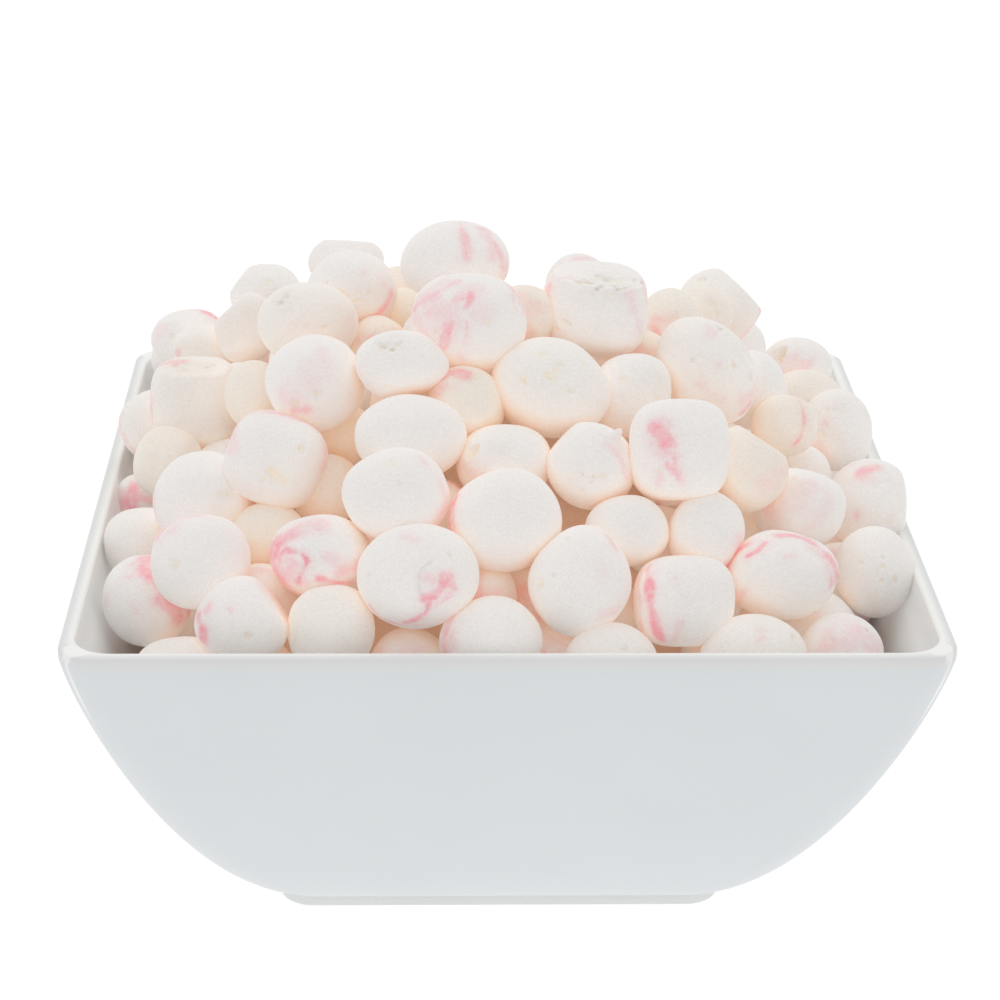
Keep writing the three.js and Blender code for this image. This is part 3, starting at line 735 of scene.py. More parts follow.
# Pink syrup that the puffing drew into streaks: strength, width, and the points that it runs through
pinkStreaks = {
    0: [(1.0, 2.8, (203, 626), (204, 638)), (0.7, 2.0, (199, 616), (202, 626)),
        (0.6, 1.9, (208, 608), (212, 603)), (0.4, 0.9, (234, 607), (235, 608))],
    2: [(0.6, 2.4, (449, 620), (446, 636), (446, 650)), (0.35, 3, (452, 630), (452, 646))],
    3: [(0.3, 1.4, (760, 634), (757, 637)), (0.25, 1.4, (758, 627), (762, 626))],
    4: [(0.35, 6, (820, 640), (845, 636), (866, 646)), (0.3, 5, (850, 630), (872, 642))],
    8: [(0.35, 9, (552, 655), (566, 665))],
    7: [(0.4, 9, (400, 660), (420, 665))],
    9: [(0.5, 2.0, (160, 538), (172, 523), (188, 516), (204, 515)), (0.25, 2.4, (163, 541), (176, 528))],
    10: [(1.0, 2.0, (651, 572), (651, 590), (654, 610), (661, 632)),
         (0.5, 1.4, (644, 574), (642, 600), (646, 622)), (0.45, 2.2, (678, 620), (674, 632)),
         (0.3, 1.0, (673, 578), (674, 579))],
    11: [(0.75, 3.4, (150, 557), (146, 566), (154, 578), (166, 596), (182, 617)),
         (0.8, 4.2, (166, 586), (180, 602), (190, 612)), (0.55, 1.6, (130, 578), (142, 577), (152, 582)),
         (0.5, 1.8, (134, 566), (146, 560)), (0.25, 1.4, (110, 596), (109, 604)),
         (0.3, 1.6, (139, 606), (142, 611))],
    12: [(0.85, 2.2, (450, 577), (446, 588), (434, 597), (427, 598)), (0.8, 2.0, (447, 584), (456, 584)),
         (0.85, 1.4, (449, 578), (456, 588)), (0.8, 1.2, (432, 600), (430, 609), (422, 616), (408, 622)),
         (0.6, 1.4, (373, 607), (382, 617), (400, 624), (420, 624)), (0.28, 3.0, (404, 534), (416, 538)),
         (0.35, 2.4, (430, 576), (436, 582)), (0.5, 1.4, (452, 594), (444, 600), (436, 606))],
    13: [(0.35, 1.7, (606, 533), (612, 540), (615, 545)), (0.3, 2.4, (604, 611), (614, 609)),
         (0.2, 3, (600, 560), (604, 570))],
    14: [(0.95, 2.6, (724, 568), (730, 556), (744, 545)), (0.9, 1.2, (746, 556), (754, 551), (761, 542)),
         (0.85, 2.0, (778, 534), (790, 533), (800, 535)),
         (0.7, 3.4, (802, 535), (818, 545), (828, 560), (834, 578)), (0.7, 1.8, (822, 570), (828, 585)),
         (0.35, 1.4, (780, 556), (789, 554)), (0.5, 3.0, (728, 572), (733, 590)),
         (0.35, 4, (814, 548), (826, 566)), (0.3, 2.0, (744, 590), (738, 600))],
    16: [(0.9, 5.0, (301, 524), (292, 532), (282, 543), (276, 552)),
         (0.8, 1.5, (282, 560), (280, 556), (288, 549), (297, 551)),
         (1.0, 1.3, (304, 553), (309, 560), (306, 570), (301, 583)),
         (0.8, 5.0, (278, 560), (284, 576), (294, 590)), (0.95, 1.8, (326, 577), (338, 582), (352, 583)),
         (0.3, 2.6, (332, 556), (342, 560)), (0.4, 4.4, (310, 522), (322, 524)),
         (0.45, 5, (290, 562), (296, 574)), (0.5, 3.4, (345, 570), (362, 566))],
    17: [(0.75, 2.0, (460, 488), (454, 502), (451, 520), (454, 536)), (0.3, 3, (458, 500), (456, 524))],
    20: [(0.35, 3.4, (736, 536), (742, 552))],
    21: [(0.6, 9, (474, 594), (492, 602))],
    22: [(0.45, 8, (256, 590), (270, 606))],
    23: [(0.45, 9, (522, 598), (534, 608))],
    24: [(0.25, 3.4, (155, 498), (154, 520)), (0.25, 3.4, (254, 512), (250, 532)),
         (0.2, 3, (246, 486), (250, 500))],
    25: [(0.55, 1.5, (243, 428), (254, 421), (272, 418), (290, 420), (306, 427), (318, 438), (323, 452)),
         (0.35, 3.2, (240, 432), (238, 450)), (0.3, 4, (320, 452), (322, 470))],
    26: [(0.4, 3.0, (440, 512), (446, 498), (444, 486)), (0.25, 1.6, (421, 459), (424, 463)),
         (0.3, 2.4, (430, 520), (440, 512))],
    27: [(0.2, 9, (784, 500), (812, 512)), (0.35, 4.4, (762, 494), (764, 512), (772, 524)),
         (0.3, 4, (800, 484), (822, 492))],
    28: [(0.28, 1.7, (604, 442), (616, 451), (624, 463), (627, 476)), (0.2, 2.0, (612, 440), (622, 450))],
    29: [(0.85, 2.8, (655, 432), (661, 436), (664, 443)), (0.8, 2.4, (665, 440), (660, 430), (655, 441)),
         (0.8, 2.2, (664, 450), (672, 458), (674, 466)), (0.75, 1.2, (666, 464), (676, 472), (680, 480)),
         (0.4, 2.2, (654, 450), (662, 456)), (0.35, 2.0, (662, 424), (668, 428)),
         (0.5, 1.0, (663, 470), (660, 478))],
    30: [(0.65, 2.4, (854, 474), (862, 471), (872, 467)), (0.35, 1.8, (848, 464), (838, 466)),
         (0.3, 2.0, (858, 480), (866, 478)), (0.6, 1.2, (850, 514), (851, 517))],
    33: [(0.3, 4, (772, 472), (784, 466)), (0.22, 5, (756, 480), (770, 486))],
    35: [(0.2, 4, (470, 466), (480, 474))],
    36: [(0.8, 7, (132, 502), (138, 494)), (0.7, 6, (126, 506), (146, 490))],
    40: [(0.55, 1.8, (186, 358), (176, 362), (164, 374), (156, 388)),
         (0.65, 1.1, (156, 388), (159, 402), (161, 416), (166, 432), (176, 448)),
         (0.6, 1.8, (176, 362), (180, 363)), (0.3, 3, (153, 380), (151, 404)),
         (0.4, 1.4, (157, 410), (158, 426))],
    41: [(0.22, 4.5, (327, 362), (322, 376), (306, 386)), (0.25, 4.0, (286, 396), (296, 402), (304, 400)),
         (0.7, 1.9, (296, 412), (304, 411), (310, 409)), (0.3, 2, (328, 372), (331, 380))],
    43: [(0.6, 2.2, (741, 412), (748, 404)), (0.3, 4, (738, 402), (752, 392)),
         (0.4, 1.2, (718, 399), (720, 400)), (0.3, 1.5, (712, 371), (716, 367)),
         (0.22, 3, (702, 340), (708, 334)), (0.2, 3, (700, 390), (716, 404)),
         (0.3, 0.9, (693, 386), (694, 387))],
    44: [(0.7, 0.9, (797, 401), (801, 412), (802, 422), (798, 434), (792, 444))],
    46: [(0.4, 1.1, (823, 422), (824, 424)), (0.25, 5, (812, 450), (824, 458))],
    47: [(0.7, 3.0, (444, 380), (452, 373), (464, 377)), (0.4, 3.4, (446, 388), (440, 396))],
    50: [(0.35, 3.4, (134, 450), (126, 438)), (0.3, 4, (120, 424), (126, 446))],
    53: [(0.12, 4, (300, 332), (314, 328)), (0.12, 5, (352, 326), (346, 344))],
    54: [(0.7, 2.4, (393, 296), (388, 306), (380, 315), (371, 323)), (0.15, 1.0, (368, 274), (363, 278)),
         (0.4, 2.4, (396, 300), (394, 318), (384, 324)), (0.25, 2.6, (386, 286), (392, 296))],
    55: [(0.55, 2.2, (418, 312), (427, 303), (440, 297)), (0.45, 1.8, (440, 297), (450, 290), (456, 286)),
         (0.45, 2.0, (432, 318), (446, 309), (458, 305)), (0.8, 1.2, (467, 313), (471, 304), (472, 297)),
         (0.5, 1.4, (458, 305), (470, 301)), (0.65, 1.8, (446, 350), (449, 338), (453, 327)),
         (0.55, 1.6, (437, 336), (446, 331), (452, 327)), (0.5, 1.0, (465, 345), (468, 334), (468, 326)),
         (0.6, 0.9, (510, 291), (511, 302), (514, 313)), (0.35, 2.4, (516, 296), (521, 312)),
         (0.35, 7, (430, 300), (450, 316)), (0.35, 5, (418, 322), (430, 334), (448, 330)),
         (0.3, 1.4, (460, 358), (464, 364)), (0.35, 3, (455, 320), (462, 330)),
         (0.25, 6, (470, 300), (474, 320))],
    56: [(0.5, 1.6, (556, 289), (549, 300), (546, 316), (549, 330), (552, 338)),
         (0.45, 3, (552, 290), (547, 308)), (0.35, 2.6, (627, 299), (630, 310)),
         (0.25, 2.0, (631, 312), (634, 330)), (0.2, 1.2, (618, 350), (624, 342)),
         (0.25, 3, (642, 284), (644, 300)), (0.3, 1.6, (575, 276), (563, 284))],
    58: [(0.6, 4.6, (650, 340), (656, 334)), (0.45, 4, (646, 332), (664, 328))],
    59: [(0.5, 1.9, (180, 354), (181, 352))],
    61: [(0.3, 4.4, (780, 364), (792, 362), (800, 368)), (0.35, 3, (770, 368), (786, 374))],
    62: [(0.3, 4, (636, 352), (650, 352))],
    63: [(0.35, 5, (370, 340), (386, 344))],
    64: [(0.55, 1.7, (461, 223), (465, 236), (467, 250), (466, 262)),
         (0.5, 2.6, (485, 230), (493, 242), (500, 257), (502, 272)), (0.35, 3.0, (488, 238), (494, 262)),
         (0.5, 1.2, (506, 262), (504, 278))],
    66: [(0.5, 0.9, (763, 306), (763, 318), (757, 332)), (0.3, 2.4, (744, 342), (752, 332)),
         (0.3, 0.9, (742, 288), (760, 300))],
    69: [(0.7, 2.6, (208, 311), (216, 314), (224, 320)), (0.2, 4, (160, 340), (166, 330))],
    70: [(0.3, 5, (516, 300), (532, 306)), (0.3, 5, (520, 330), (534, 332))],
    71: [(0.4, 2.6, (576, 262), (586, 260))],
    73: [(0.2, 4, (394, 296), (400, 300))],
}

# the creamiest ones, and how creamy they are
creamy = {31: 0.6, 32: 0.5, 33: 0.5, 37: 0.3, 39: 0.6, 44: 0.5, 47: 0.5, 51: 0.5, 52: 0.9, 58: 0.4,
          60: 0.3, 62: 0.7, 63: 0.5, 65: 0.4, 70: 0.6, 72: 0.9, 73: 0.7}


def startBall(level):
    # a geodesic ball gives the directions and faces that every sweet of this fineness starts from
    selectNone()
    bpy.ops.mesh.primitive_ico_sphere_add(subdivisions=level, radius=1, location=(0, 0, 0))
    ball = bpy.context.object
    mesh = ball.data
    points = np.empty(len(mesh.vertices) * 3)
    mesh.vertices.foreach_get("co", points)
    faces = np.empty(len(mesh.polygons) * 3, dtype=np.int32)
    mesh.polygons.foreach_get("vertices", faces)
    bpy.data.objects.remove(ball)
    bpy.data.meshes.remove(mesh)
    points = points.reshape(-1, 3)
    return points / np.linalg.norm(points, axis=1, keepdims=True), faces.reshape(-1, 3)


balls = {level: startBall(level) for level in (4, 5, 6)}


def fade(distance, reach):
    # 1 at the middle, 0 from reach outwards
    return np.clip(1 - (distance / reach) ** 2, 0, 1) ** 2


class Sweet:
    def __init__(self, number, layout, level):
        self.number = number
        self.layout = layout
        self.random = np.random.default_rng(puff["seed"] + number)
        self.dirs, self.faces = balls[level]
        self.reach = np.array([layout["wide"] / 2, layout["high"] / 2, layout["radius"]])
        self.notes = shapeNotes.get(number, {})
        self.streaks = pinkStreaks.get(number, [])
        turn = math.radians(layout["turn"])
        self.side = right * math.cos(turn) + up * math.sin(turn)
        self.rise = -right * math.sin(turn) + up * math.cos(turn)
        self.centre = pictured(layout["at"])
        self.pink = np.zeros(len(self.dirs))
        self.pit = np.zeros(len(self.dirs))
        self.broken = np.zeros(len(self.dirs))

    def facing(self, spot):
        # direction from the sweet's middle to a place in the picture
        across, down = spot
        dx = (across - self.centre[0]) / self.centre[2]
        dy = (self.centre[1] - down) / self.centre[2]
        turn = math.radians(self.layout["turn"])
        x = (dx * math.cos(turn) + dy * math.sin(turn)) / self.reach[0]
        y = (-dx * math.sin(turn) + dy * math.cos(turn)) / self.reach[1]
        size = math.hypot(x, y)
        if size > 0.97:
            x, y = x * 0.97 / size, y * 0.97 / size
        direction = np.array([x, y, math.sqrt(1 - x * x - y * y)])
        return direction / np.linalg.norm(direction)

    def distance(self, direction):
        # millimetres over the surface from each point to a direction
        return np.arccos(np.clip(self.dirs @ direction, -1, 1)) * self.layout["radius"]

    def distanceToRun(self, spots):
        # millimetres from each point to a run of points in the picture
        ends = [self.facing(spot) for spot in spots]
        best = self.distance(ends[0])
        for a, b in zip(ends, ends[1:]):
            for k in range(1, 7):
                middle = a + (b - a) * k / 6
                best = np.minimum(best, self.distance(middle / np.linalg.norm(middle)))
        return best

    def waves(self, count, low, high):
        total = np.zeros(len(self.dirs))
        for _ in range(count):
            wave = self.random.normal(size=3)
            wave *= self.random.uniform(low, high) / np.linalg.norm(wave)
            total += np.cos(self.dirs @ wave + self.random.uniform(0, 2 * math.pi))
        return total

    def blow(self):
        # the puffed body, fitted to its width, height and depth
        spin = np.linalg.qr(self.random.normal(size=(3, 3)))[0]
        power = self.random.uniform(*puff["boxiness"])
        if "box" in self.notes:
            spin, power = np.eye(3), self.notes["box"]
        size = (np.abs(self.dirs @ spin) ** power).sum(axis=1) ** (-1 / power)
        lumps = puff["lump"] * self.waves(*puff["lumpWaves"])
        size *= 1 + lumps + puff["ripple"] * self.waves(*puff["rippleWaves"])
        local = self.dirs * size[:, None]
        low, high = local.min(axis=0), local.max(axis=0)
        self.local = (local - (low + high) / 2) * 2 * self.reach / (high - low)

    def cut(self):
        # flat sides, with an edge that curves over them
        soft = puff["cutSoft"]
        for x, y, z, keep in self.notes.get("cuts", []):
            normal = np.array([x, y, z]) / math.sqrt(x * x + y * y + z * z)
            out = self.local @ normal
            over = np.clip((out - keep * out.max()) / soft + 0.5, 0, None)
            taken = np.where(over < 1, soft / 2 * over * over, over * soft - soft / 2)
            self.local -= taken[:, None] * puff["cutShare"] * normal

    def push(self, amount):
        self.local -= amount[:, None] * self.dirs

    def mark(self):
        m = marking
        for across, down, width, depth in self.notes.get("dents", []):
            self.push(depth * fade(self.distance(self.facing((across, down))), m["dent"] * width))
        for width, depth, *spots in self.notes.get("creases", []):
            self.push(depth * np.exp(-(self.distanceToRun(spots) / (m["crease"] * width)) ** 2))
        for across, down, radius, height in self.notes.get("rough", []):
            away = self.distance(self.facing((across, down)))
            share = np.clip(m["brokenEdge"] * fade(away, m["broken"] * radius), 0, 1)
            grain = self.waves(*m["crumbs"]) * m["crumbShare"]
            grain += self.waves(*m["fineCrumbs"]) * m["fineCrumbShare"]
            self.push(m["brokenDepth"] * height * share * (0.3 + grain))
            self.broken = np.maximum(self.broken, share)
            self.pit = np.maximum(self.pit, share * np.clip(0.1 + 0.3 * grain, 0, 0.35))
        for across, down, width, depth in self.notes.get("pits", []):
            away = self.distance(self.facing((across, down)))
            away = away * (1 + m["pitUneven"] * self.waves(*m["pitWaves"]))
            share = np.clip(m["pitEdge"] * fade(away, m["pit"] * width), 0, 1)
            self.push(m["pitDepth"] * depth * share)
            self.pit = np.maximum(self.pit, m["pitTint"] * share)
        for across, down, width, height in self.notes.get("nibs", []):
            away = self.distance(self.facing((across, down)))
            self.push(-height * np.exp(-(away / (m["nib"] * width)) ** 2))

    def streak(self):
        m = marking
        for strength, width, *spots in self.streaks:
            away = self.distanceToRun(spots) + m["streakUneven"] * width * self.waves(*m["streakWaves"])
            away = np.maximum(away, 0)
            share = m["streakStrength"] * fade(away, m["streak"] * width)
            halo = m["haloStrength"] * fade(away, m["halo"] * width + m["haloReach"])
            self.pink = np.maximum(self.pink, strength * (share + halo))
        if self.number >= len(seen) and self.random.uniform() < 0.4:
            self.randomStreaks()

    def randomStreaks(self):
        # one to three bands on great circles, as on the sweets that show
        strength = self.random.choice([0.35, 0.6, 0.9])
        for _ in range(self.random.integers(1, 4)):
            across = self.random.normal(size=3)
            across /= np.linalg.norm(across)
            along = np.cross(across, self.random.normal(size=3))
            along /= np.linalg.norm(along)
            away = np.abs(self.dirs @ across + 0.12 * self.waves(2, 2, 5)) * self.layout["radius"]
            length = np.clip((self.dirs @ along - self.random.uniform(-0.2, 0.6)) * 3, 0, 1)
            width = self.random.uniform(1.2, 3.2)
            self.pink = np.maximum(self.pink, strength * length * fade(away, width))

    def bury(self):
        # how much of the light the neighbours keep off each point, 0 in the open, 1 deep in a gap
        outward = self.world - np.array(self.layout["at"])
        outward /= np.linalg.norm(outward, axis=1, keepdims=True)
        hidden = np.zeros(len(self.dirs))
        for other in everySweet:
            gap = apart(other["at"], self.layout["at"])
            if other is self.layout or gap > self.layout["radius"] + 3 * other["radius"]:
                continue
            toward = np.array(other["at"]) - self.world
            away = np.maximum(np.linalg.norm(toward, axis=1), other["radius"])
            facing = np.clip((toward * outward).sum(axis=1) / away + 0.15, 0, 1)
            hidden += facing * (other["radius"] / away) ** 2
        self.deep = 1 - np.exp(-0.9 * hidden)

    def finish(self):
        self.blow()
        self.cut()
        self.mark()
        self.streak()
        x, y, z = self.local.T
        world = np.array(self.layout["at"]) + x[:, None] * self.side + y[:, None] * self.rise
        world -= z[:, None] * ahead
        # pressed flat where it would stand out past the rim of the bowl
        edge = bowlShape["side"] / 2 - puff["pressedFrom"]
        over = np.maximum(np.abs(world[:, :2]) - edge, 0)
        world[:, :2] -= np.sign(world[:, :2]) * over * over / (over + puff["pressedSoft"])
        self.world = world
        self.bury()
        tone = creamy[self.number] + 1 if self.number in creamy else self.random.uniform()
        self.tone = np.full(len(self.dirs), tone)
        return self


def joinSweets(name, sweets):
    points = np.concatenate([s.world for s in sweets]) * mm
    starts = np.cumsum([0] + [len(s.dirs) for s in sweets[:-1]])
    faces = np.concatenate([s.faces + start for s, start in zip(sweets, starts)])
    mesh = bpy.data.meshes.new(name)
    mesh.vertices.add(len(points))
    mesh.vertices.foreach_set("co", points.astype(np.float32).ravel())
    mesh.loops.add(faces.size)
    mesh.loops.foreach_set("vertex_index", faces.astype(np.int32).ravel())
    mesh.polygons.add(len(faces))
    mesh.polygons.foreach_set("loop_start", np.arange(0, faces.size, 3, dtype=np.int32))
    for key in ("pink", "pit", "broken", "tone", "deep"):
        values = np.concatenate([getattr(s, key) for s in sweets])
        mesh.attributes.new(key, "FLOAT", "POINT").data.foreach_set("value", values.astype(np.float32))
    mesh.update(calc_edges=True)
    mesh.validate()
    mesh.shade_smooth()
    obj = bpy.data.objects.new(name, mesh)
    bpy.context.scene.collection.objects.link(obj)
    print(name, len(sweets), "sweets,", len(faces), "triangles")
    return obj


# the sweets with the finest marks get a denser ball, by where they lie in the heap
fineSweets = {
    "taffy_pitted_low": (10, 12, 13, 14, 15, 16, 25),
    "taffy_pitted_mid": (28, 35, 40, 42, 43, 45),
    "taffy_pitted_top": (53, 54, 55, 56),
}


def kindOf(number, layout):
    # the piece that a sweet joins, and how fine it is
    for name, numbers in fineSweets.items():
        if number in numbers:
            return name, 6
    if number < len(shown):
        return ("taffy_streaked" if number in pinkStreaks else "taffy_plain"), 5
    if layout["under"] == 2:
        return "taffy_underneath", 4
    return ("taffy_behind" if layout["at"][1] > heap["behind"] else "taffy_sides"), 5


def makeSweets():
    kinds = {}
    for k, layout in enumerate(everySweet):
        name, level = kindOf(k, layout)
        kinds.setdefault(name, []).append(Sweet(k, layout, level).finish())
    return [joinSweets(name, sweets) for name, sweets in kinds.items()]


taffy = makeSweets()

# Core: sugar under the loose layers, so that no gap looks through to the floor of the bowl; its deep
# value gives it the painted shade and painted glow of the deepest gaps
coreShape = {
    "depth": 30.0,
    "half": 84.0,
    "cells": 28,
    "foot": 20.0,
    "taper": 0.72,
    "sharpAngle": 50.0,
    # how deep in a gap the whole core counts as, for the painted shade and glow
    "deep": 0.9,
}


def makeCore():
    selectNone()
    size = 2 * coreShape["half"] * mm
    bpy.ops.mesh.primitive_grid_add(x_subdivisions=coreShape["cells"], y_subdivisions=coreShape["cells"],
                                    size=size, location=(0, 0, 0))
    core = bpy.context.object
    core.name = "heap_core"
    for v in core.data.vertices:
        v.co.z = (heapLevel(v.co.x / mm, v.co.y / mm) - coreShape["depth"]) * mm
    bpy.ops.object.mode_set(mode="EDIT")
    bpy.ops.mesh.select_mode(type="EDGE")
    bpy.ops.mesh.select_all(action="DESELECT")
    bpy.ops.mesh.select_non_manifold()
    # the edge is drawn down and in, and squashed flat at the foot
    foot, taper = coreShape["foot"] * mm, coreShape["taper"]
    bpy.ops.mesh.extrude_region_move(TRANSFORM_OT_translate={"value": (0, 0, -foot)})
    bpy.ops.transform.resize(value=(taper, taper, 0), center_override=(0, 0, foot))
    bpy.ops.mesh.edge_face_add()
    bpy.ops.mesh.select_all(action="SELECT")
    bpy.ops.mesh.normals_make_consistent(inside=False)
    bpy.ops.object.mode_set(mode="OBJECT")
    bpy.ops.object.shade_smooth_by_angle(angle=math.radians(coreShape["sharpAngle"]))
    # the whole core gets the painted shade and painted glow of a deep gap
    deep = core.data.attributes.new("deep", "FLOAT", "POINT")
    buried = np.full(len(core.data.vertices), coreShape["deep"], dtype=np.float32)
    deep.data.foreach_set("value", buried)
    return core


core = makeCore()
print("core made")


def noise(tree, place, scale, detail, roughness=0.5):
    settings = {"Scale": scale, "Detail": detail, "Roughness": roughness}
    return addNode(tree, "ShaderNodeTexNoise", settings, {"Vector": place}).outputs["Fac"]


def remap(tree, value, start, end, low=0.0, high=1.0):
    settings = {"From Min": start, "From Max": end, "To Min": low, "To Max": high}
    return addNode(tree, "ShaderNodeMapRange", settings, {"Value": value}).outputs[0]


def colourRamp(tree, value, first, *middle, last):
    node = addNode(tree, "ShaderNodeValToRGB", links={"Fac": value})
    ends = node.color_ramp.elements
    for element, (position, colour) in zip(list(ends), (first, last)):
        element.position, element.color = position, linear(colour)
    for position, colour in middle:
        ends.new(position).color = linear(colour)
    return node.outputs["Color"]


def product(tree, a, b, **settings):
    return addNode(tree, "ShaderNodeMath", {"operation": "MULTIPLY", **settings}, {0: a, 1: b}).outputs[0]


def scaled(tree, colour, share):
    settings = {"operation": "SCALE"}
    return addNode(tree, "ShaderNodeVectorMath", settings, {"Vector": colour, "Scale": share}).outputs[0]


def mixColour(tree, share, base, colour, kind="MIX"):
    settings = {"data_type": "RGBA", "blend_type": kind, 7: linear(colour)}
    return addNode(tree, "ShaderNodeMix", settings, {0: share, 6: base}).outputs[2]


def bump(tree, height, strength, distance, under=None):
    links = {"Height": height}
    if under:
        links["Normal"] = under
    return addNode(tree, "ShaderNodeBump", {"Strength": strength, "Distance": distance}, links).outputs[0]


def endMaterial(material, tree, settings, links):
    surface = addNode(tree, "ShaderNodeBsdfPrincipled", settings, links)
    addNode(tree, "ShaderNodeOutputMaterial", links={"Surface": surface.outputs["BSDF"]})
    material.cycles.emission_sampling = "NONE"
    return material


# Sugar foam: colours of the shell, the syrup, the pits, the painted shade and the painted glow in the gaps,
# metre-based pattern scales, and bumps as strength and metres
foam = {
    "syrup": ((0.0, "#F9F6F3"), (0.3, "#FAE7E6"), (0.65, "#FDCFD3")),
    "strongSyrup": (1.0, "#FFB3BC"),
    "cream": "#FFF8EC",
    "pitCream": "#FDF3E2",
    # painted shade: the peach that the colour is multiplied towards deep in the gaps
    "paintedGapShade": "#FFDCC0",
    # painted glow: emission colours by how deep in a gap a point lies
    "gapGlow": ((0.0, "#1F1C1B"), (0.3, "#443C3A"), (0.45, "#504845"), (0.6, "#615B56"), (0.72, "#69615B"),
             (0.82, "#5A483D")),
    "gapGlowEnd": (0.95, "#382014"),
    "mottleScale": 850.0,
    "strandScale": 300.0,
    "grainScale": 2000.0,
    "poreScale": 420.0,
    "crumbScale": 1100.0,
    "grainBump": (0.6, 0.00025),
    "poreBump": (0.3, 0.00025),
    "crumbBump": (0.5, 0.0006),
}


def puffedSugar():
    # freeze-dried taffy is dry white sugar foam: matt and powdery. The warm light that soaks through it
    # into the gaps is painted in, as a peach shade and a glow that rise with how deep in a gap a point lies
    material, tree = newMaterial("freeze_dried_sugar_foam")
    place = addNode(tree, "ShaderNodeTexCoord").outputs["Object"]
    mask = {key: addNode(tree, "ShaderNodeAttribute", {"attribute_name": key}).outputs["Fac"]
            for key in ("pink", "pit", "broken", "tone", "deep")}
    # syrup streaks are mottled at about 1 mm and 3 mm
    mottle = remap(tree, noise(tree, place, foam["mottleScale"], 4.0, 0.7), 0.3, 0.7, 0.6, 1.2)
    strands = remap(tree, noise(tree, place, foam["strandScale"], 3.0, 0.6), 0.3, 0.7, 0.7, 1.15)
    pinkness = product(tree, mask["pink"], product(tree, mottle, strands), use_clamp=True)
    tint = colourRamp(tree, pinkness, *foam["syrup"], last=foam["strongSyrup"])
    warm = mixColour(tree, remap(tree, mask["tone"], 0.6, 2.0), tint, foam["cream"], "MULTIPLY")
    dimple = mixColour(tree, mask["pit"], warm, foam["pitCream"])
    # painted shade: deep in the gaps between sweets the colour is multiplied towards peach
    gapShaded = mixColour(tree, remap(tree, mask["deep"], 0.55, 1.0), dimple, foam["paintedGapShade"], "MULTIPLY")
    # sugar grains of about half a millimetre catch the light, over pores of about 2 mm
    grain = noise(tree, place, foam["grainScale"], 3.0, 0.75)
    speckled = scaled(tree, gapShaded, remap(tree, grain, 0.35, 0.65, 0.93, 1.03))
    pores = addNode(tree, "ShaderNodeTexVoronoi", {"Scale": foam["poreScale"]}, {"Vector": place})
    crumbled = product(tree, noise(tree, place, foam["crumbScale"], 4.0, 0.7), mask["broken"])
    relief = bump(tree, grain, *foam["grainBump"])
    relief = bump(tree, remap(tree, pores.outputs["Distance"], 0.0, 0.22), *foam["poreBump"], relief)
    relief = bump(tree, crumbled, *foam["crumbBump"], relief)
    # painted glow: a warm emission on the sides of a gap, dying away at its bottom, for the light soaking
    # through the foam
    gapGlow = colourRamp(tree, mask["deep"], *foam["gapGlow"], last=foam["gapGlowEnd"])
    glow = addNode(tree, "ShaderNodeMix", {"data_type": "RGBA", "blend_type": "MULTIPLY", 0: 1.0},
                   {6: gapGlow, 7: dimple}).outputs[2]
    return endMaterial(material, tree, {
        "Roughness": 0.8, "IOR": 1.45, "Specular IOR Level": 0.25, "Emission Strength": 1.0},
        {"Base Color": speckled, "Normal": relief, "Emission Color": glow})


# Porcelain: colours by height in shares of 0.1 m, pattern scales per metre, and the bump as strength
# and metres
glaze = {
    # painted light: foot, lip and rim top are lighter or warmer than the body for how the light falls on
    # them
    "colours": ((0.038, "#E4E7E5"), (0.043, "#DFE2E4"), (0.918, "#DFE2E4"), (0.924, "#E2E3E2"),
                (0.942, "#E2E3E2")),
    "paintedLitRimColour": (0.949, "#E7E8E7"),
    "waveScale": 65.0,
    "waveBump": (0.06, 0.0006),
    "cloudScale": 28.0,
    # painted glow on the inner wall: its greatest strength and its colour
    "wallGlow": 0.22,
    "wallGlowColour": "#FFFBF2",
}


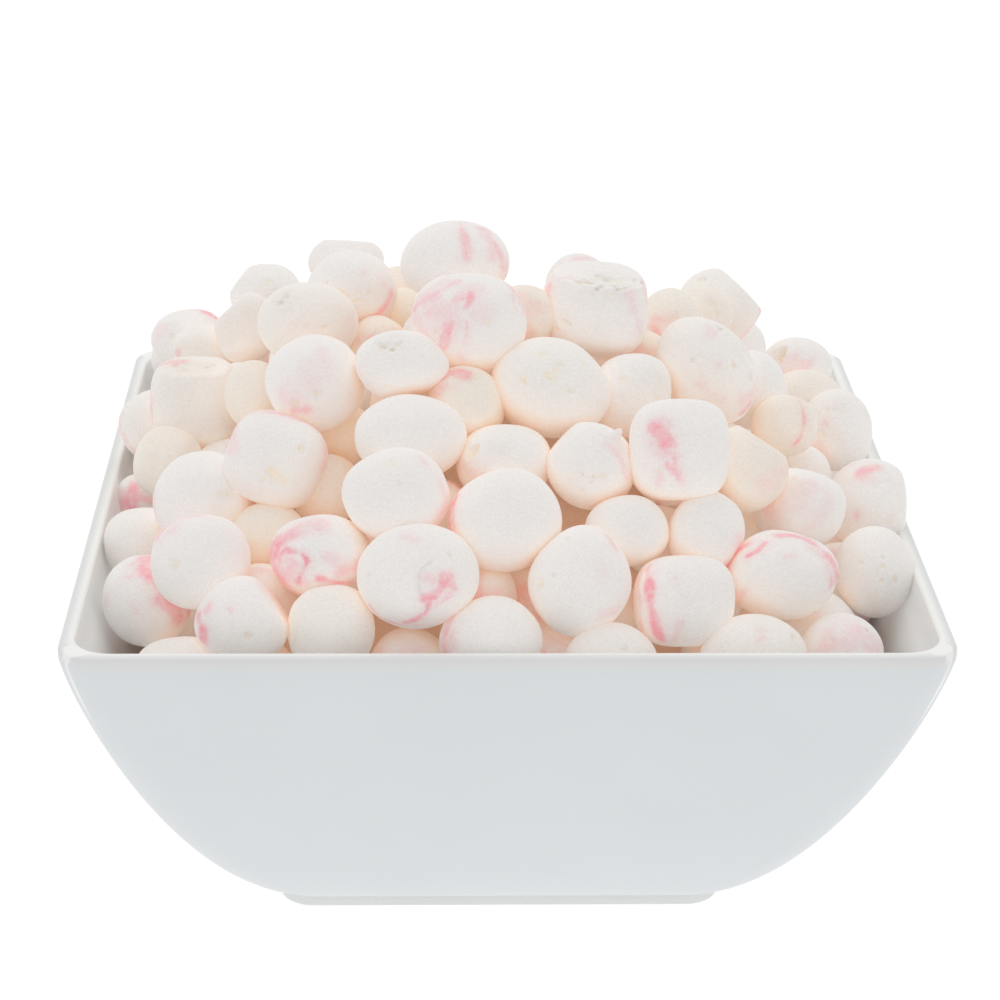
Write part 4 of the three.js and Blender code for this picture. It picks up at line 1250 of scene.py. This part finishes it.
def glazedPorcelain():
    # slip-cast feldspar porcelain under clear glaze: cool white, mirror-like only at its bends
    material, tree = newMaterial("glazed_white_porcelain")
    place = addNode(tree, "ShaderNodeTexCoord").outputs["Object"]
    # the glaze lies a little uneven, in waves of about 15 mm
    wavy = bump(tree, noise(tree, place, glaze["waveScale"], 1.0), *glaze["waveBump"])
    # painted light by height: lighter at the foot, where it stands in shade, a little warmer over the lip,
    # for the warm light off the sweets, and lightest on the rim top, which takes the light from above
    height = addNode(tree, "ShaderNodeSeparateXYZ", links={"Vector": place}).outputs["Z"]
    shade = colourRamp(tree, remap(tree, height, 0.0, 0.1), *glaze["colours"], last=glaze["paintedLitRimColour"])
    cloud = remap(tree, noise(tree, place, glaze["cloudScale"], 2.0), 0.3, 0.7, 0.98)
    # painted glow: the inner wall emits a little warm light, most just under the rim, to lift its shade
    inside = addNode(tree, "ShaderNodeAttribute", {"attribute_name": "inside"}).outputs["Fac"]
    wallGlow = remap(tree, inside, 0.0, 1.0, 0.0, glaze["wallGlow"])
    return endMaterial(material, tree, {
        "Roughness": 0.3, "IOR": 1.5, "Specular IOR Level": 0.0, "Coat Weight": 0.35,
        "Coat Roughness": 0.05, "Emission Color": linear(glaze["wallGlowColour"])},
        {"Base Color": scaled(tree, shade, cloud), "Normal": wavy, "Emission Strength": wallGlow})


sugar = puffedSugar()
porcelain = glazedPorcelain()
bowl.data.materials.append(porcelain)
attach(bowl, "root")
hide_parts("bowl")
for piece in taffy + [core]:
    piece.data.materials.append(sugar)
    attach(piece, "root")
    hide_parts("taffy_heap")
print("materials given")

# Studio: a white table and soft light from all round, in metres and watts
studio = {
    "floorHalf": 3.0,
    "floorColour": "#6E6E6E",
    "floorGlow": 0.9,
    "worldStrength": 0.775,
    "panelWatts": 4.5,
    "panelSize": (2.0, 1.2),
    "panelPlace": (-0.15, 0.6, 1.3),
    "panelAim": (0, 0, 0.1),
}


def makeStudio():
    selectNone()
    bpy.ops.mesh.primitive_plane_add(size=2 * studio["floorHalf"], location=(0, 0, 0))
    floor = bpy.context.object
    floor.name = "studio_floor"
    material, tree = newMaterial("white_light_table")
    surface = addNode(tree, "ShaderNodeBsdfPrincipled", {
        "Base Color": linear(studio["floorColour"]), "Roughness": 1.0, "Specular IOR Level": 0.0,
        "Emission Color": (1, 1, 1, 1), "Emission Strength": studio["floorGlow"]})
    addNode(tree, "ShaderNodeOutputMaterial", links={"Surface": surface.outputs["BSDF"]})
    floor.data.materials.append(material)
    world = bpy.data.worlds.new("softStudio")
    world.use_nodes = True
    background = world.node_tree.nodes["Background"]
    background.inputs["Color"].default_value = (1, 1, 1, 1)
    background.inputs["Strength"].default_value = studio["worldStrength"]
    bpy.context.scene.world = world
    # a wide panel behind and above, for the bright upper edges
    data = bpy.data.lights.new("softPanel", "AREA")
    data.shape = "RECTANGLE"
    data.size, data.size_y = studio["panelSize"]
    data.energy = studio["panelWatts"]
    lamp = bpy.data.objects.new("softPanel", data)
    lamp.location = studio["panelPlace"]
    aim = Vector(studio["panelAim"]) - lamp.location
    lamp.rotation_euler = aim.to_track_quat("-Z", "Y").to_euler()
    lamp.visible_camera = False
    bpy.context.scene.collection.objects.link(lamp)


makeStudio()
bpy.context.scene.view_settings.view_transform = "Standard"
print("studio lit")
